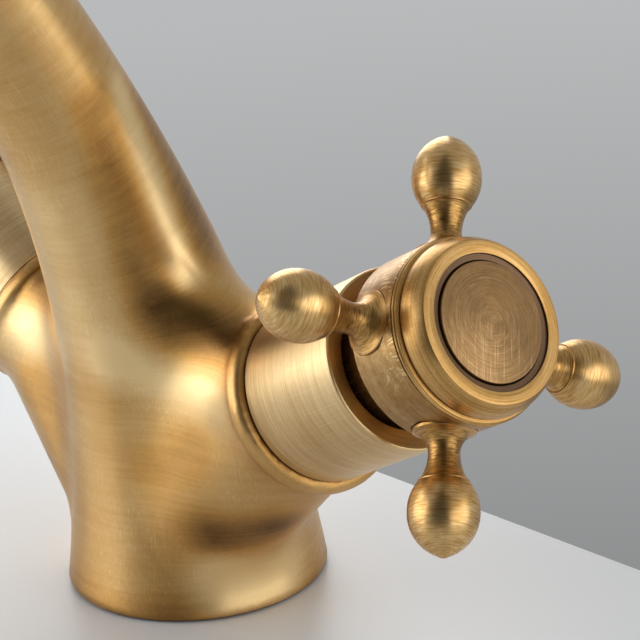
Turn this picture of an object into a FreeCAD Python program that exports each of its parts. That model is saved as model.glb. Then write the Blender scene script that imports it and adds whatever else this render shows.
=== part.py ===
import FreeCAD, Part
import math
import os

import Sketcher

# Two-handle basin mixer tap in cast brass, for one tap hole.
# The origin is the middle of the foot on the basin deck, +Z is up and the spout reaches towards -Y.
# Both valve axes leave the point (0, 0, axis_height) in the XZ plane: cold towards +X, hot towards -X.
# Pieces of a valve or a handle are drawn along their own Z axis, from that point outwards.

# Driving dimensions, lengths in millimetres and angles in degrees.
DRIVING_SIZES = {
    # Foot, neck and spout of the casting.
    "foot_radius": 24.0,
    "column_radius": 20.0,
    "shoulder_radius": 16.3,
    "throat_radius": 13.3,
    "stem_radius": 11.6,
    "spout_radius": 11.0,
    "neck_curve_radius": 212.0,
    "neck_turn": 38.0,
    "arch_radius": 42.0,
    "outlet_lean": 165.0,
    "outlet_length": 7.0,
    "outlet_thread_radius": 10.4,
    "outlet_thread_length": 6.5,
    "spout_bore_radius": 7.0,
    "bore_start_turn": 12.0,
    # Arms of the casting and the valve pockets in them.
    "axis_height": 23.5,
    "arm_rise": 28.0,
    "arm_root_radius": 16.3,
    "arm_waist_depth": 0.6,
    "arm_length": 42.7,
    "collar_radius": 17.0,
    "collar_width": 3.6,
    "collar_bulge": 0.75,
    "arm_blend_radius": 16.0,
    "pocket_radius": 10.3,
    "pocket_depth": 18.7,
    "seat_port_radius": 4.0,
    "seat_port_depth": 19.0,
    "gallery_radius": 3.0,
    "gallery_length": 54.0,
    # Inlets, fixing and gasket below the foot.
    "inlet_spacing": 19.0,
    "inlet_thread_radius": 4.5,
    "inlet_thread_depth": 13.0,
    "inlet_way_radius": 3.4,
    "inlet_way_height": 30.0,
    "stud_offset": 13.0,
    "stud_radius": 3.98,
    "stud_clearance": 0.02,
    "stud_depth": 14.0,
    "stud_drop": 56.0,
    "stud_chamfer": 0.8,
    "gasket_inner_radius": 18.2,
    "gasket_width": 2.8,
    "gasket_height": 2.1,
    "gasket_clearance": 0.05,
    # Clamp below the deck.
    "deck_thickness": 20.0,
    "clamp_radius": 23.0,
    "clamp_washer_height": 3.0,
    "clamp_plate_height": 2.5,
    "clamp_slot_width": 32.0,
    "clamp_slot_back": 6.0,
    "clamp_hole_clearance": 0.5,
    "nut_flats": 13.0,
    "nut_height": 8.0,
    "nut_clearance": 0.06,
    # Headwork screwed into the arm.
    "seat_seal_height": 1.6,
    "seat_seal_inner_radius": 6.6,
    "seat_seal_outer_radius": 8.0,
    "housing_clearance": 0.05,
    "housing_foot_height": 1.8,
    "housing_waist_radius": 9.2,
    "housing_waist_height": 10.0,
    "housing_cavity_radius": 8.1,
    "housing_cavity_depth": 11.0,
    "housing_window_width": 7.0,
    "housing_window_height": 4.0,
    "housing_window_rise": 6.0,
    "headwork_seal_thickness": 1.4,
    "headwork_seal_below_flange": 2.9,
    "seal_clearance": 0.04,
    "flange_height": 4.0,
    "bonnet_radius": 8.4,
    "bonnet_height": 11.3,
    "disc_clearance": 0.05,
    "disc_height": 2.8,
    "disc_gap": 0.05,
    "disc_port_radius": 1.8,
    "disc_port_offset": 4.2,
    "moving_disc_radius": 7.8,
    "spindle_radius": 4.0,
    "spindle_clearance": 0.05,
    "spindle_foot_radius": 7.4,
    "spindle_foot_height": 2.4,
    "spindle_thrust_radius": 5.6,
    "spindle_thrust_gap": 0.1,
    "spindle_seal_thickness": 1.0,
    "spindle_seal_below_bonnet": 4.0,
    "circlip_height": 0.8,
    "circlip_width": 1.9,
    "circlip_groove_depth": 0.7,
    "circlip_clearance": 0.05,
    "circlip_opening": 3.0,
    "circlip_gap": 0.1,
    "spindle_square": 5.6,
    "spindle_square_length": 9.0,
    "spindle_shoulder_rise": 6.4,
    # Sleeve over the headwork.
    "sleeve_radius": 15.3,
    "sleeve_wall": 1.7,
    "sleeve_length": 24.6,
    "sleeve_edge": 0.5,
    "sleeve_mouth_radius": 11.6,
    "sleeve_mouth_depth": 1.0,
    "sleeve_lip_height": 2.0,
    # Cross handle.
    "cross_turn": 27.8,
    "hub_gap": 6.2,
    "hub_radius": 15.4,
    "hub_height": 9.7,
    "hub_edge": 0.5,
    "hub_stem_radius": 10.6,
    "hub_stem_length": 11.3,
    "socket_clearance": 0.05,
    "screw_radius": 2.0,
    "screw_clearance": 0.2,
    "screw_length": 9.0,
    "screw_head_radius": 3.6,
    "screw_head_height": 2.6,
    "screw_slot_width": 1.0,
    "screw_slot_depth": 1.2,
    "head_room_radius": 4.6,
    "hub_web_height": 1.2,
    "arm_plane_rise": 4.3,
    "arm_seat_reach": 14.4,
    "arm_stud_radius": 2.2,
    "arm_stud_length": 5.0,
    "arm_fit_clearance": 0.05,
    "arm_foot_radius": 5.4,
    "arm_foot_height": 0.6,
    "arm_neck_radius": 2.53,
    "arm_neck_reach": 18.7,
    "arm_foot_bulge": 0.8,
    "arm_neck_bulge": 0.35,
    "arm_ring_root_radius": 4.0,
    "arm_ring_radius": 4.2,
    "arm_ring_reach": 22.5,
    "arm_ring_width": 0.5,
    "ball_root_radius": 4.15,
    "ball_radius": 5.67,
    "ball_reach": 27.9,
    "ball_tip_radius": 0.8,
    "ball_tip_reach": 34.55,
    "arm_tip_reach": 34.7,
    "ball_lower_bulge": 0.45,
    "ball_upper_bulge": 1.35,
    "bezel_bead_radius": 15.3,
    "bezel_bead_width": 1.2,
    "bezel_bead_bulge": 0.5,
    "bezel_groove_radius": 14.5,
    "bezel_groove_width": 0.6,
    "bezel_shoulder_radius": 14.9,
    "bezel_height": 6.7,
    "bezel_face_radius": 13.3,
    "bezel_face_bulge": 0.75,
    "bezel_recess_radius": 10.8,
    "bezel_recess_depth": 0.55,
    "cap_radius": 9.72,
    "cap_clearance": 0.05,
    "cap_thickness": 2.2,
    "cap_wall": 1.6,
    "cap_edge": 0.2,
    "cap_drop": 0.05,
    # Aerator at the spout outlet.
    "aerator_radius": 12.3,
    "aerator_clearance": 0.05,
    "aerator_length": 11.5,
    "aerator_edge": 0.8,
    "aerator_mouth_radius": 9.0,
    "aerator_lip_height": 1.0,
    "aerator_washer_height": 1.2,
    "aerator_washer_inner_radius": 7.4,
    "aerator_hole_radius": 0.9,
    "aerator_hole_ring_radius": 5.6,
}

PORT_COUNT = 2
CROSS_ARMS = 4
NUT_SIDES = 6
AERATOR_HOLES = 12
SIDES = {"cold": 1, "hot": -1}

doc = FreeCAD.newDocument("BasinMixerTap")
sheet = doc.addObject("Spreadsheet::Sheet", "Sizes")
for row, (alias, number) in enumerate(DRIVING_SIZES.items(), start=1):
    sheet.set(f"A{row}", alias)
    sheet.set(f"B{row}", str(number))
    sheet.setAlias(f"B{row}", alias)
doc.recompute()


class Size:
    """A length or an angle, kept as a number and as the sheet expression that gives it."""

    def __init__(self, value, text):
        self.value = value
        self.text = text

    def __add__(self, other):
        other = as_size(other)
        return Size(self.value + other.value, f"({self.text} + {other.text})")

    def __sub__(self, other):
        other = as_size(other)
        return Size(self.value - other.value, f"({self.text} - {other.text})")

    def __mul__(self, other):
        other = as_size(other)
        return Size(self.value * other.value, f"({self.text} * {other.text})")

    def __truediv__(self, other):
        other = as_size(other)
        return Size(self.value / other.value, f"({self.text} / {other.text})")

    def __neg__(self):
        return Size(-self.value, f"(0 - {self.text})")


def as_size(number):
    """A plain number as a Size, and a Size as it is."""
    if isinstance(number, Size):
        return number
    return Size(float(number), repr(float(number)))


def size(alias):
    """A driving dimension of the sheet."""
    return Size(DRIVING_SIZES[alias], f"Sizes.{alias}")


def sine(angle):
    return Size(math.sin(math.radians(angle.value)), f"sin({angle.text} * 1 deg)")


def cosine(angle):
    return Size(math.cos(math.radians(angle.value)), f"cos({angle.text} * 1 deg)")


ZERO = as_size(0)
QUARTER_TURN = as_size(90)
HALF_TURN = QUARTER_TURN * 2
FULL_TURN = QUARTER_TURN * 4
QUARTER_ROUND = 1 - math.cos(math.pi / 4)
AXES = {"x": "vector(1; 0; 0)", "y": "vector(0; 1; 0)", "z": "vector(0; 0; 1)"}


def place(across=ZERO, deep=ZERO, up=ZERO, axis="z", angle=ZERO):
    """Placement expression: a shift, and a turn about one axis."""
    shift = f"vector({across.text}; {deep.text}; {up.text})"
    return f"placement({shift}; rotation({AXES[axis]}; {angle.text}))"


def origin_item(body, role):
    """Origin plane or axis of a body."""
    return next(item for item in body.Origin.OriginFeatures if item.Role == role)


def new_body(label, placement=None):
    body = doc.addObject("PartDesign::Body", label)
    body.Label = label
    if placement:
        body.setExpression("Placement", placement)
    return body


def new_sketch(body, name, role, offset=None):
    """Empty sketch on one of the body's origin planes, moved by an offset expression."""
    sketch = body.newObject("Sketcher::SketchObject", f"{body.Name}_{name}")
    sketch.AttachmentSupport = [(origin_item(body, role), "")]
    sketch.MapMode = "FlatFace"
    if offset:
        sketch.setExpression("AttachmentOffset", offset)
    return sketch


def bind(sketch, kind, places, value):
    """Add one dimension to a sketch and tie it to its expression."""
    index = sketch.addConstraint(Sketcher.Constraint(kind, *places, value.value))
    sketch.setExpression(f"Constraints[{index}]", value.text)


def pin(sketch, geometry, end, across, along):
    """Hold a point of the sketch at its two coordinates."""
    for kind, axis, value in (("DistanceX", -2, across), ("DistanceY", -1, along)):
        if value.value == 0:
            sketch.addConstraint(Sketcher.Constraint("PointOnObject", geometry, end, axis))
        else:
            bind(sketch, kind, (-1, 1, geometry, end), value)


def add_arc(sketch, centre, radius, first_angle, last_angle):
    circle = Part.Circle(centre, FreeCAD.Vector(0, 0, 1), radius)
    return sketch.addGeometry(Part.ArcOfCircle(circle, first_angle, last_angle), False)


def bulged_arc(sketch, start, finish, bulge):
    """Arc between two corners whose middle stands bulge to the left of the straight line."""
    first = FreeCAD.Vector(start[0].value, start[1].value, 0)
    last = FreeCAD.Vector(finish[0].value, finish[1].value, 0)
    run = last - first
    left = FreeCAD.Vector(-run.y, run.x, 0).normalize()
    across = finish[0] - start[0]
    along = finish[1] - start[1]
    depth = bulge if bulge.value > 0 else -bulge
    radius = ((across * across + along * along) / 4 + depth * depth) / (depth * 2)
    side = math.copysign(1, bulge.value)
    centre = (first + last) * 0.5 + left * (bulge.value - side * radius.value)
    begin, end = (last, first) if side > 0 else (first, last)
    first_angle = math.atan2(begin.y - centre.y, begin.x - centre.x)
    last_angle = math.atan2(end.y - centre.y, end.x - centre.x)
    geometry = add_arc(sketch, centre, radius.value, first_angle, last_angle)
    bind(sketch, "Radius", (geometry,), radius)
    return (geometry, 2, 1) if side > 0 else (geometry, 1, 2)


def draw_outline(sketch, corners):
    """Closed outline through corners (across, along) or (across, along, bulge).

    A corner with a bulge is reached by an arc from the corner before it.
    """
    corners = [tuple(as_size(number) for number in corner) for corner in corners]
    runs = []
    for start, finish in zip(corners[-1:] + corners[:-1], corners):
        if len(finish) == 3:
            runs.append(bulged_arc(sketch, start, finish, finish[2]))
        else:
            ends = [FreeCAD.Vector(point[0].value, point[1].value, 0) for point in (start, finish)]
            runs.append((sketch.addGeometry(Part.LineSegment(*ends), False), 1, 2))
    for run, following in zip(runs, runs[1:] + runs[:1]):
        sketch.addConstraint(Sketcher.Constraint("Coincident", run[0], run[2], following[0], following[1]))
    for run, corner in zip(runs, corners):
        pin(sketch, run[0], run[2], corner[0], corner[1])


def draw_circle(sketch, across, along, radius):
    across, along, radius = as_size(across), as_size(along), as_size(radius)
    centre = FreeCAD.Vector(across.value, along.value, 0)
    circle = Part.Circle(centre, FreeCAD.Vector(0, 0, 1), radius.value)
    geometry = sketch.addGeometry(circle, False)
    bind(sketch, "Radius", (geometry,), radius)
    pin(sketch, geometry, 3, across, along)


def draw_rectangle(sketch, left, right, bottom, top):
    draw_outline(sketch, [(left, bottom), (right, bottom), (right, top), (left, top)])


def circle_sketch(body, name, role, radius, offset=None):
    sketch = new_sketch(body, name, role, offset)
    draw_circle(sketch, ZERO, ZERO, radius)
    return sketch


def turn(body, name, corners, offset=None, kind="Revolution"):
    """Turn an outline of (radius, along) corners fully about its own upright axis."""
    sketch = new_sketch(body, f"{name}_outline", "XZ_Plane", offset)
    draw_outline(sketch, corners)
    feature = body.newObject(f"PartDesign::{kind}", f"{body.Name}_{name}")
    feature.Profile = sketch
    feature.ReferenceAxis = (sketch, ["V_Axis"])
    feature.Angle = FULL_TURN.value
    doc.recompute()
    return feature


def turned_piece(label, placement, corners):
    body = new_body(label, placement)
    turn(body, "turning", corners)
    return body


def cut(body, name, sketch, length=None, both_ways=False, forwards=True):
    """Pocket along the sketch's normal; without a length it goes right through."""
    before = body.Shape.Volume
    pocket = body.newObject("PartDesign::Pocket", f"{body.Name}_{name}")
    pocket.Profile = sketch
    pocket.Reversed = forwards
    if both_ways:
        pocket.SideType = "Symmetric"
    if length is None:
        pocket.Type = "ThroughAll"
    else:
        pocket.Type = "Length"
        pocket.setExpression("Length", length.text)
    doc.recompute()
    if not body.Shape.Volume < before:
        raise RuntimeError(f"{pocket.Name} cuts nothing")
    return pocket


def pad(body, name, sketch, length):
    feature = body.newObject("PartDesign::Pad", f"{body.Name}_{name}")
    feature.Profile = sketch
    feature.Type = "Length"
    feature.setExpression("Length", length.text)
    doc.recompute()
    return feature


def repeat_round(body, name, originals, count):
    """Repeat features round the body's own upright axis."""
    pattern = body.newObject("PartDesign::PolarPattern", f"{body.Name}_{name}")
    pattern.Originals = originals
    pattern.Axis = (origin_item(body, "Z_Axis"), [""])
    pattern.Angle = FULL_TURN.value
    pattern.Occurrences = count
    body.Tip = pattern
    doc.recompute()


# Neck and spout centreline, in the YZ plane. The lean is measured from upright towards -Y.

NECK_SECTIONS = (
    "foot_radius", "column_radius", "shoulder_radius", "throat_radius", "stem_radius", "spout_radius",
)


def neck_point(lean):
    """Point of the long neck curve, which starts upright at the middle of the foot."""
    curve = size("neck_curve_radius")
    return curve * cosine(lean) - curve, curve * sine(lean)


def neck_plane(lean):
    """Sketch plane square to the neck curve, turned so that seams lie at the back."""
    deep, up = neck_point(lean)
    return f"{place(ZERO, deep, up, 'x', lean)} * {place(axis='z', angle=QUARTER_TURN)}"


NECK_END = neck_point(size("neck_turn"))
ARCH_CENTRE = (
    NECK_END[0] - size("arch_radius") * cosine(size("neck_turn")),
    NECK_END[1] - size("arch_radius") * sine(size("neck_turn")),
)
ARCH_END = (
    ARCH_CENTRE[0] + size("arch_radius") * cosine(size("outlet_lean")),
    ARCH_CENTRE[1] + size("arch_radius") * sine(size("outlet_lean")),
)


def outlet_point(distance):
    """Point on the straight outlet, at a distance past the end of the arch."""
    deep = ARCH_END[0] - distance * sine(size("outlet_lean"))
    return deep, ARCH_END[1] + distance * cosine(size("outlet_lean"))


THREAD_START = outlet_point(size("outlet_length"))
OUTLET = outlet_point(size("outlet_length") + size("outlet_thread_length"))


def spine_arc(sketch, centre, radius, first, last, first_lean, last_lean):
    """Arc of the centreline from one lean to another, held by its ends and its radius."""
    middle = FreeCAD.Vector(centre[0].value, centre[1].value, 0)
    angles = (math.radians(first_lean.value), math.radians(last_lean.value))
    geometry = add_arc(sketch, middle, radius.value, *angles)
    bind(sketch, "Radius", (geometry,), radius)
    pin(sketch, geometry, 1, *first)
    pin(sketch, geometry, 2, *last)


def spine_line(sketch, first, last):
    ends = [FreeCAD.Vector(point[0].value, point[1].value, 0) for point in (first, last)]
    geometry = sketch.addGeometry(Part.LineSegment(*ends), False)
    pin(sketch, geometry, 1, *first)
    pin(sketch, geometry, 2, *last)


def draw_arch(sketch, last):
    """The spout's arch and its straight outlet, down to the last point."""
    turn_end, lean = size("neck_turn"), size("outlet_lean")
    spine_arc(sketch, ARCH_CENTRE, size("arch_radius"), NECK_END, ARCH_END, turn_end, lean)
    spine_line(sketch, ARCH_END, last)


def sweep(body, name, profile, spine, kind):
    pipe = body.newObject(f"PartDesign::{kind}", f"{body.Name}_{name}")
    pipe.Profile = profile
    pipe.Spine = (spine, [f"Edge{number + 1}" for number in range(spine.GeometryCount)])
    doc.recompute()
    return pipe


# Lengths along a valve axis, from the point where both axes meet.

POCKET_FLOOR = size("arm_length") - size("pocket_depth")
HOUSING_FOOT = POCKET_FLOOR + size("seat_seal_height")
HOUSING_RADIUS = size("pocket_radius") - size("housing_clearance")
FLANGE_TOP = size("arm_length") + size("flange_height")
BONNET_TOP = FLANGE_TOP + size("bonnet_height")
CAVITY_TOP = HOUSING_FOOT + size("housing_cavity_depth")
DISC_FACE = HOUSING_FOOT + size("disc_height")
MOVING_FOOT = DISC_FACE + size("disc_gap")
SPINDLE_FOOT = MOVING_FOOT + size("disc_height")
SPINDLE_SHOULDER = BONNET_TOP + size("spindle_shoulder_rise")
SPINDLE_TOP = SPINDLE_SHOULDER + size("spindle_square_length")
SLEEVE_BORE = size("sleeve_radius") - size("sleeve_wall")
SLEEVE_END = size("arm_length") + size("sleeve_length")
HUB_FOOT = SLEEVE_END + size("hub_gap")
HUB_TOP = HUB_FOOT + size("hub_height")
HANDLE_FACE = HUB_TOP + size("bezel_height")
HUB_WEB_TOP = SPINDLE_TOP + size("hub_web_height")
HEADWORK_SEAL_HEIGHT = size("arm_length") - size("headwork_seal_below_flange")
SPINDLE_SEAL_HEIGHT = BONNET_TOP - size("spindle_seal_below_bonnet")
CIRCLIP_FOOT = BONNET_TOP + size("circlip_gap")


def arm_tilt(sign):
    """Sketch offset on the XZ plane that lays the sketch's upright axis along a valve axis."""
    tilt = (QUARTER_TURN - size("arm_rise")) * -sign
    return place(ZERO, size("axis_height"), ZERO, "z", tilt)


def valve_frame(sign):
    """Placement of the fixed pieces of a valve."""
    tilt = (QUARTER_TURN - size("arm_rise")) * sign
    return place(ZERO, ZERO, size("axis_height"), "y", tilt)


def handle_frame(sign):
    """Placement of the pieces that turn with a handle, with the cross at its closed angle."""
    return f"{valve_frame(sign)} * {place(axis='z', angle=size('cross_turn') * -sign)}"


# Cast body: tapering neck, arched spout, two raised arms with rounded collars, and the waterways.

def add_neck(body):
    sections = []
    for step, radius in enumerate(NECK_SECTIONS):
        lean = size("neck_turn") * step / (len(NECK_SECTIONS) - 1)
        sections.append(circle_sketch(body, radius, "XY_Plane", size(radius), neck_plane(lean)))
    neck = body.newObject("PartDesign::AdditiveLoft", "body_casting_neck")
    neck.Profile = sections[0]
    neck.Sections = sections[1:]
    doc.recompute()


def add_arm(body, side, sign):
    """One raised arm, waisted behind the rounded collar that the sleeve meets."""
    collar_foot = size("arm_length") - size("collar_width")
    collar_root = size("collar_radius") - size("collar_bulge")
    return turn(body, f"{side}_arm", [
        (0, 0),
        (size("arm_root_radius"), 0),
        (collar_root, collar_foot, size("arm_waist_depth")),
        (collar_root, size("arm_length"), -size("collar_bulge")),
        (0, size("arm_length")),
    ], arm_tilt(sign))


# Share of the spout radius each side of the middle that holds no seam between an arm and the neck.
MIDDLE_SHARE = 0.25


def arm_seams(shape):
    """Names of the edges where an arm runs into the neck, found by their place on the arm."""
    rise = math.radians(DRIVING_SIZES["arm_rise"])
    names = []
    for number, edge in enumerate(shape.Edges, start=1):
        middle = edge.valueAt((edge.FirstParameter + edge.LastParameter) / 2)
        height = middle.z - DRIVING_SIZES["axis_height"]
        along = abs(middle.x) * math.cos(rise) + height * math.sin(rise)
        on_arm = 0 < along < DRIVING_SIZES["arm_length"] - DRIVING_SIZES["collar_width"]
        on_side = abs(middle.x) > MIDDLE_SHARE * DRIVING_SIZES["spout_radius"]
        if on_arm and on_side and edge.Curve.TypeId == "Part::GeomBSplineCurve":
            names.append(f"Edge{number}")
    return names


def blend_arms(body, last_arm):
    """Round the inner corner between the arms and the neck."""
    blend = body.newObject("PartDesign::Fillet", "body_casting_blend")
    blend.Base = (last_arm, arm_seams(last_arm.Shape))
    blend.setExpression("Radius", size("arm_blend_radius").text)
    doc.recompute()


def add_spout(body):
    """Arch and straight outlet, ending in the thread for the aerator."""
    neck_top = neck_plane(size("neck_turn"))
    profile = circle_sketch(body, "arch_section", "XY_Plane", size("spout_radius"), neck_top)
    spine = new_sketch(body, "arch_line", "YZ_Plane")
    draw_arch(spine, THREAD_START)
    sweep(body, "arch", profile, spine, "AdditivePipe")
    lean = place(ZERO, *THREAD_START, "x", size("outlet_lean"))
    thread = circle_sketch(body, "thread_section", "XY_Plane", size("outlet_thread_radius"), lean)
    pad(body, "thread", thread, size("outlet_thread_length"))


def bore_spout(body):
    """Waterway from the mixing chamber to the outlet."""
    start = size("bore_start_turn")
    profile = circle_sketch(body, "bore_section", "XY_Plane", size("spout_bore_radius"), neck_plane(start))
    spine = new_sketch(body, "bore_line", "YZ_Plane")
    centre = (-size("neck_curve_radius"), ZERO)
    neck_turn = size("neck_turn")
    spine_arc(spine, centre, size("neck_curve_radius"), neck_point(start), NECK_END, start, neck_turn)
    draw_arch(spine, OUTLET)
    sweep(body, "bore", profile, spine, "SubtractivePipe")
    gallery = new_sketch(body, "gallery_section", "YZ_Plane")
    draw_circle(gallery, *neck_point(start), size("gallery_radius"))
    cut(body, "gallery", gallery, size("gallery_length"), both_ways=True)


def bore_valve_pocket(body, side, sign):
    """Pocket for the headwork, with the seat port below its floor."""
    seat_port_end = POCKET_FLOOR - size("seat_port_depth")
    open_end = size("arm_length") + size("collar_width")
    turn(body, f"{side}_pocket", [
        (0, seat_port_end),
        (size("seat_port_radius"), seat_port_end),
        (size("seat_port_radius"), POCKET_FLOOR),
        (size("pocket_radius"), POCKET_FLOOR),
        (size("pocket_radius"), open_end),
        (0, open_end),
    ], arm_tilt(sign), "Groove")


def bore_foot(body):
    """Threaded inlets with the ways up to the seat ports, the stud hole and the gasket groove."""
    reach = size("inlet_spacing") / 2
    threads = new_sketch(body, "inlet_threads", "XY_Plane")
    ways = new_sketch(body, "inlet_ways", "XY_Plane")
    for sign in SIDES.values():
        draw_circle(threads, reach * sign, ZERO, size("inlet_thread_radius"))
        draw_circle(ways, reach * sign, ZERO, size("inlet_way_radius"))
    cut(body, "inlets", threads, size("inlet_thread_depth"))
    cut(body, "ways", ways, size("inlet_way_height"))
    stud = new_sketch(body, "stud_section", "XY_Plane")
    draw_circle(stud, ZERO, size("stud_offset"), size("stud_radius") + size("stud_clearance"))
    cut(body, "stud_hole", stud, size("stud_depth"))
    clearance = size("gasket_clearance")
    groove = new_sketch(body, "gasket_section", "XY_Plane")
    draw_circle(groove, ZERO, ZERO, size("gasket_inner_radius") - clearance)
    draw_circle(groove, ZERO, ZERO, size("gasket_inner_radius") + size("gasket_width") + clearance)
    cut(body, "gasket_groove", groove, size("gasket_height") + clearance)


def make_body_casting():
    body = new_body("body_casting")
    add_neck(body)
    for side, sign in SIDES.items():
        last_arm = add_arm(body, side, sign)
    blend_arms(body, last_arm)
    add_spout(body)
    bore_spout(body)
    for side, sign in SIDES.items():
        bore_valve_pocket(body, side, sign)
    bore_foot(body)
    return body


# Foot fittings and the clamp that grips the deck from below.

def make_base_gasket():
    outer = size("gasket_inner_radius") + size("gasket_width")
    inner = size("gasket_inner_radius")
    height = size("gasket_height")
    return turned_piece("base_gasket", place(), [(inner, 0), (outer, 0), (outer, height), (inner, height)])


def make_fixing_stud():
    radius, chamfer = size("stud_radius"), size("stud_chamfer")
    top, bottom = size("stud_depth"), -size("stud_drop")
    return turned_piece("fixing_stud", place(deep=size("stud_offset")), [
        (0, bottom),
        (radius - chamfer, bottom),
        (radius, bottom + chamfer),
        (radius, top - chamfer),
        (radius - chamfer, top),
        (0, top),
    ])


def make_horseshoe(label, top_depth, height):
    """Flat ring with an open front for the supply tails and a hole for the stud."""
    body = new_body(label, place(up=-(top_depth + height)))
    pad(body, "plate", circle_sketch(body, "outline", "XY_Plane", size("clamp_radius")), height)
    half = size("clamp_slot_width") / 2
    front = -size("clamp_radius") - size("clamp_slot_back")
    slot = new_sketch(body, "slot_outline", "XY_Plane")
    draw_rectangle(slot, -half, half, front, size("clamp_slot_back"))
    cut(body, "slot", slot)
    hole = new_sketch(body, "hole_outline", "XY_Plane")
    draw_circle(hole, ZERO, size("stud_offset"), size("stud_radius") + size("clamp_hole_clearance"))
    cut(body, "hole", hole)
    return body


def make_clamp_nut(top_depth):
    body = new_body("clamp_nut", place(deep=size("stud_offset"), up=-(top_depth + size("nut_height"))))
    corner = size("nut_flats") / 2 / cosine(HALF_TURN / NUT_SIDES)
    outline = new_sketch(body, "outline", "XY_Plane")
    turns = [FULL_TURN * step / NUT_SIDES for step in range(NUT_SIDES)]
    draw_outline(outline, [(corner * cosine(angle), corner * sine(angle)) for angle in turns])
    pad(body, "hexagon", outline, size("nut_height"))
    hole = circle_sketch(body, "hole_outline", "XY_Plane", size("stud_radius") + size("nut_clearance"))
    cut(body, "hole", hole)
    return body


def make_deck_clamp():
    washer_foot = size("deck_thickness") + size("clamp_washer_height")
    plate_foot = washer_foot + size("clamp_plate_height")
    return [
        make_horseshoe("clamp_washer", size("deck_thickness"), size("clamp_washer_height")),
        make_horseshoe("clamp_plate", washer_foot, size("clamp_plate_height")),
        make_clamp_nut(plate_foot),
    ]


# Aerator screwed over the spout end.

AERATOR_FRAME = place(ZERO, *OUTLET, "x", size("outlet_lean"))
AERATOR_BORE = size("outlet_thread_radius") + size("aerator_clearance")
AERATOR_END = size("aerator_length") - size("outlet_thread_length")
AERATOR_LIP = AERATOR_END - size("aerator_lip_height")


def make_aerator_housing():
    edge = size("aerator_edge")
    return turned_piece("aerator_housing", AERATOR_FRAME, [
        (AERATOR_BORE, -size("outlet_thread_length")),
        (size("aerator_radius"), -size("outlet_thread_length")),
        (size("aerator_radius"), AERATOR_END - edge),
        (size("aerator_radius") - edge, AERATOR_END, -(edge * QUARTER_ROUND)),
        (size("aerator_mouth_radius"), AERATOR_END),
        (size("aerator_mouth_radius"), AERATOR_LIP),
        (AERATOR_BORE, AERATOR_LIP),
    ])


def make_aerator_washer():
    inner, outer = size("aerator_washer_inner_radius"), size("outlet_thread_radius")
    height = size("aerator_washer_height")
    return turned_piece("aerator_washer", AERATOR_FRAME, [
        (inner, 0), (outer, 0), (outer, height), (inner, height),
    ])


def make_aerator_insert():
    """Plastic disc with a ring of jets."""
    body = new_body("aerator_insert", AERATOR_FRAME)
    foot = size("aerator_washer_height")
    radius = size("outlet_thread_radius")
    turn(body, "disc", [(0, foot), (radius, foot), (radius, AERATOR_LIP), (0, AERATOR_LIP)])
    jet = new_sketch(body, "jet_outline", "XY_Plane")
    draw_circle(jet, size("aerator_hole_ring_radius"), ZERO, size("aerator_hole_radius"))
    repeat_round(body, "jets", [cut(body, "jet", jet)], AERATOR_HOLES)
    return body


# Quarter-turn headwork in each arm, and the sleeve over it.

def make_valve_sleeve(side, sign):
    edge = size("sleeve_edge")
    mouth = SLEEVE_END - size("sleeve_mouth_depth")
    return turned_piece(f"{side}_valve_sleeve", valve_frame(sign), [
        (SLEEVE_BORE, size("arm_length")),
        (size("sleeve_radius"), size("arm_length")),
        (size("sleeve_radius"), SLEEVE_END - edge),
        (size("sleeve_radius") - edge, SLEEVE_END, -(edge * QUARTER_ROUND)),
        (size("sleeve_mouth_radius"), mouth),
        (size("sleeve_mouth_radius"), mouth - size("sleeve_lip_height")),
        (SLEEVE_BORE, mouth - size("sleeve_lip_height")),
    ])


def seal_groove(outer_radius, height, thickness):
    """Corners of a groove in a shaft of the given radius, from its lower to its upper edge."""
    half = thickness / 2 + size("seal_clearance")
    floor = outer_radius - thickness - size("seal_clearance") * 2
    return floor, height - half, height + half


def make_headwork_housing(side, sign):
    """Brass housing with the disc cavity, water windows, seal groove, flange and bonnet."""
    body = new_body(f"{side}_headwork_housing", valve_frame(sign))
    waist_foot = HOUSING_FOOT + size("housing_foot_height")
    waist_top = waist_foot + size("housing_waist_height")
    thickness = size("headwork_seal_thickness")
    floor, groove_foot, groove_top = seal_groove(size("pocket_radius"), HEADWORK_SEAL_HEIGHT, thickness)
    flange = SLEEVE_BORE - size("housing_clearance")
    spindle_bore = size("spindle_radius") + size("spindle_clearance")
    turn(body, "turning", [
        (size("housing_cavity_radius"), HOUSING_FOOT),
        (HOUSING_RADIUS, HOUSING_FOOT),
        (HOUSING_RADIUS, waist_foot),
        (size("housing_waist_radius"), waist_foot),
        (size("housing_waist_radius"), waist_top),
        (HOUSING_RADIUS, waist_top),
        (HOUSING_RADIUS, groove_foot),
        (floor, groove_foot),
        (floor, groove_top),
        (HOUSING_RADIUS, groove_top),
        (HOUSING_RADIUS, size("arm_length")),
        (flange, size("arm_length")),
        (flange, FLANGE_TOP),
        (size("bonnet_radius"), FLANGE_TOP),
        (size("bonnet_radius"), BONNET_TOP),
        (spindle_bore, BONNET_TOP),
        (spindle_bore, CAVITY_TOP),
        (size("housing_cavity_radius"), CAVITY_TOP),
    ])
    half = size("housing_window_width") / 2
    foot = HOUSING_FOOT + size("housing_window_rise")
    window = new_sketch(body, "window_outline", "XZ_Plane")
    draw_rectangle(window, -half, half, foot, foot + size("housing_window_height"))
    cut(body, "windows", window, both_ways=True)
    return body


def make_ring_seal(label, placement, outer_radius, height, thickness):
    """Rubber O-ring held in a groove."""
    body = new_body(label, placement)
    section = new_sketch(body, "section", "XZ_Plane")
    draw_circle(section, outer_radius - size("seal_clearance") - thickness / 2, height, thickness / 2)
    ring = body.newObject("PartDesign::Revolution", f"{label}_ring")
    ring.Profile = section
    ring.ReferenceAxis = (section, ["V_Axis"])
    ring.Angle = FULL_TURN.value
    return body


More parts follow.
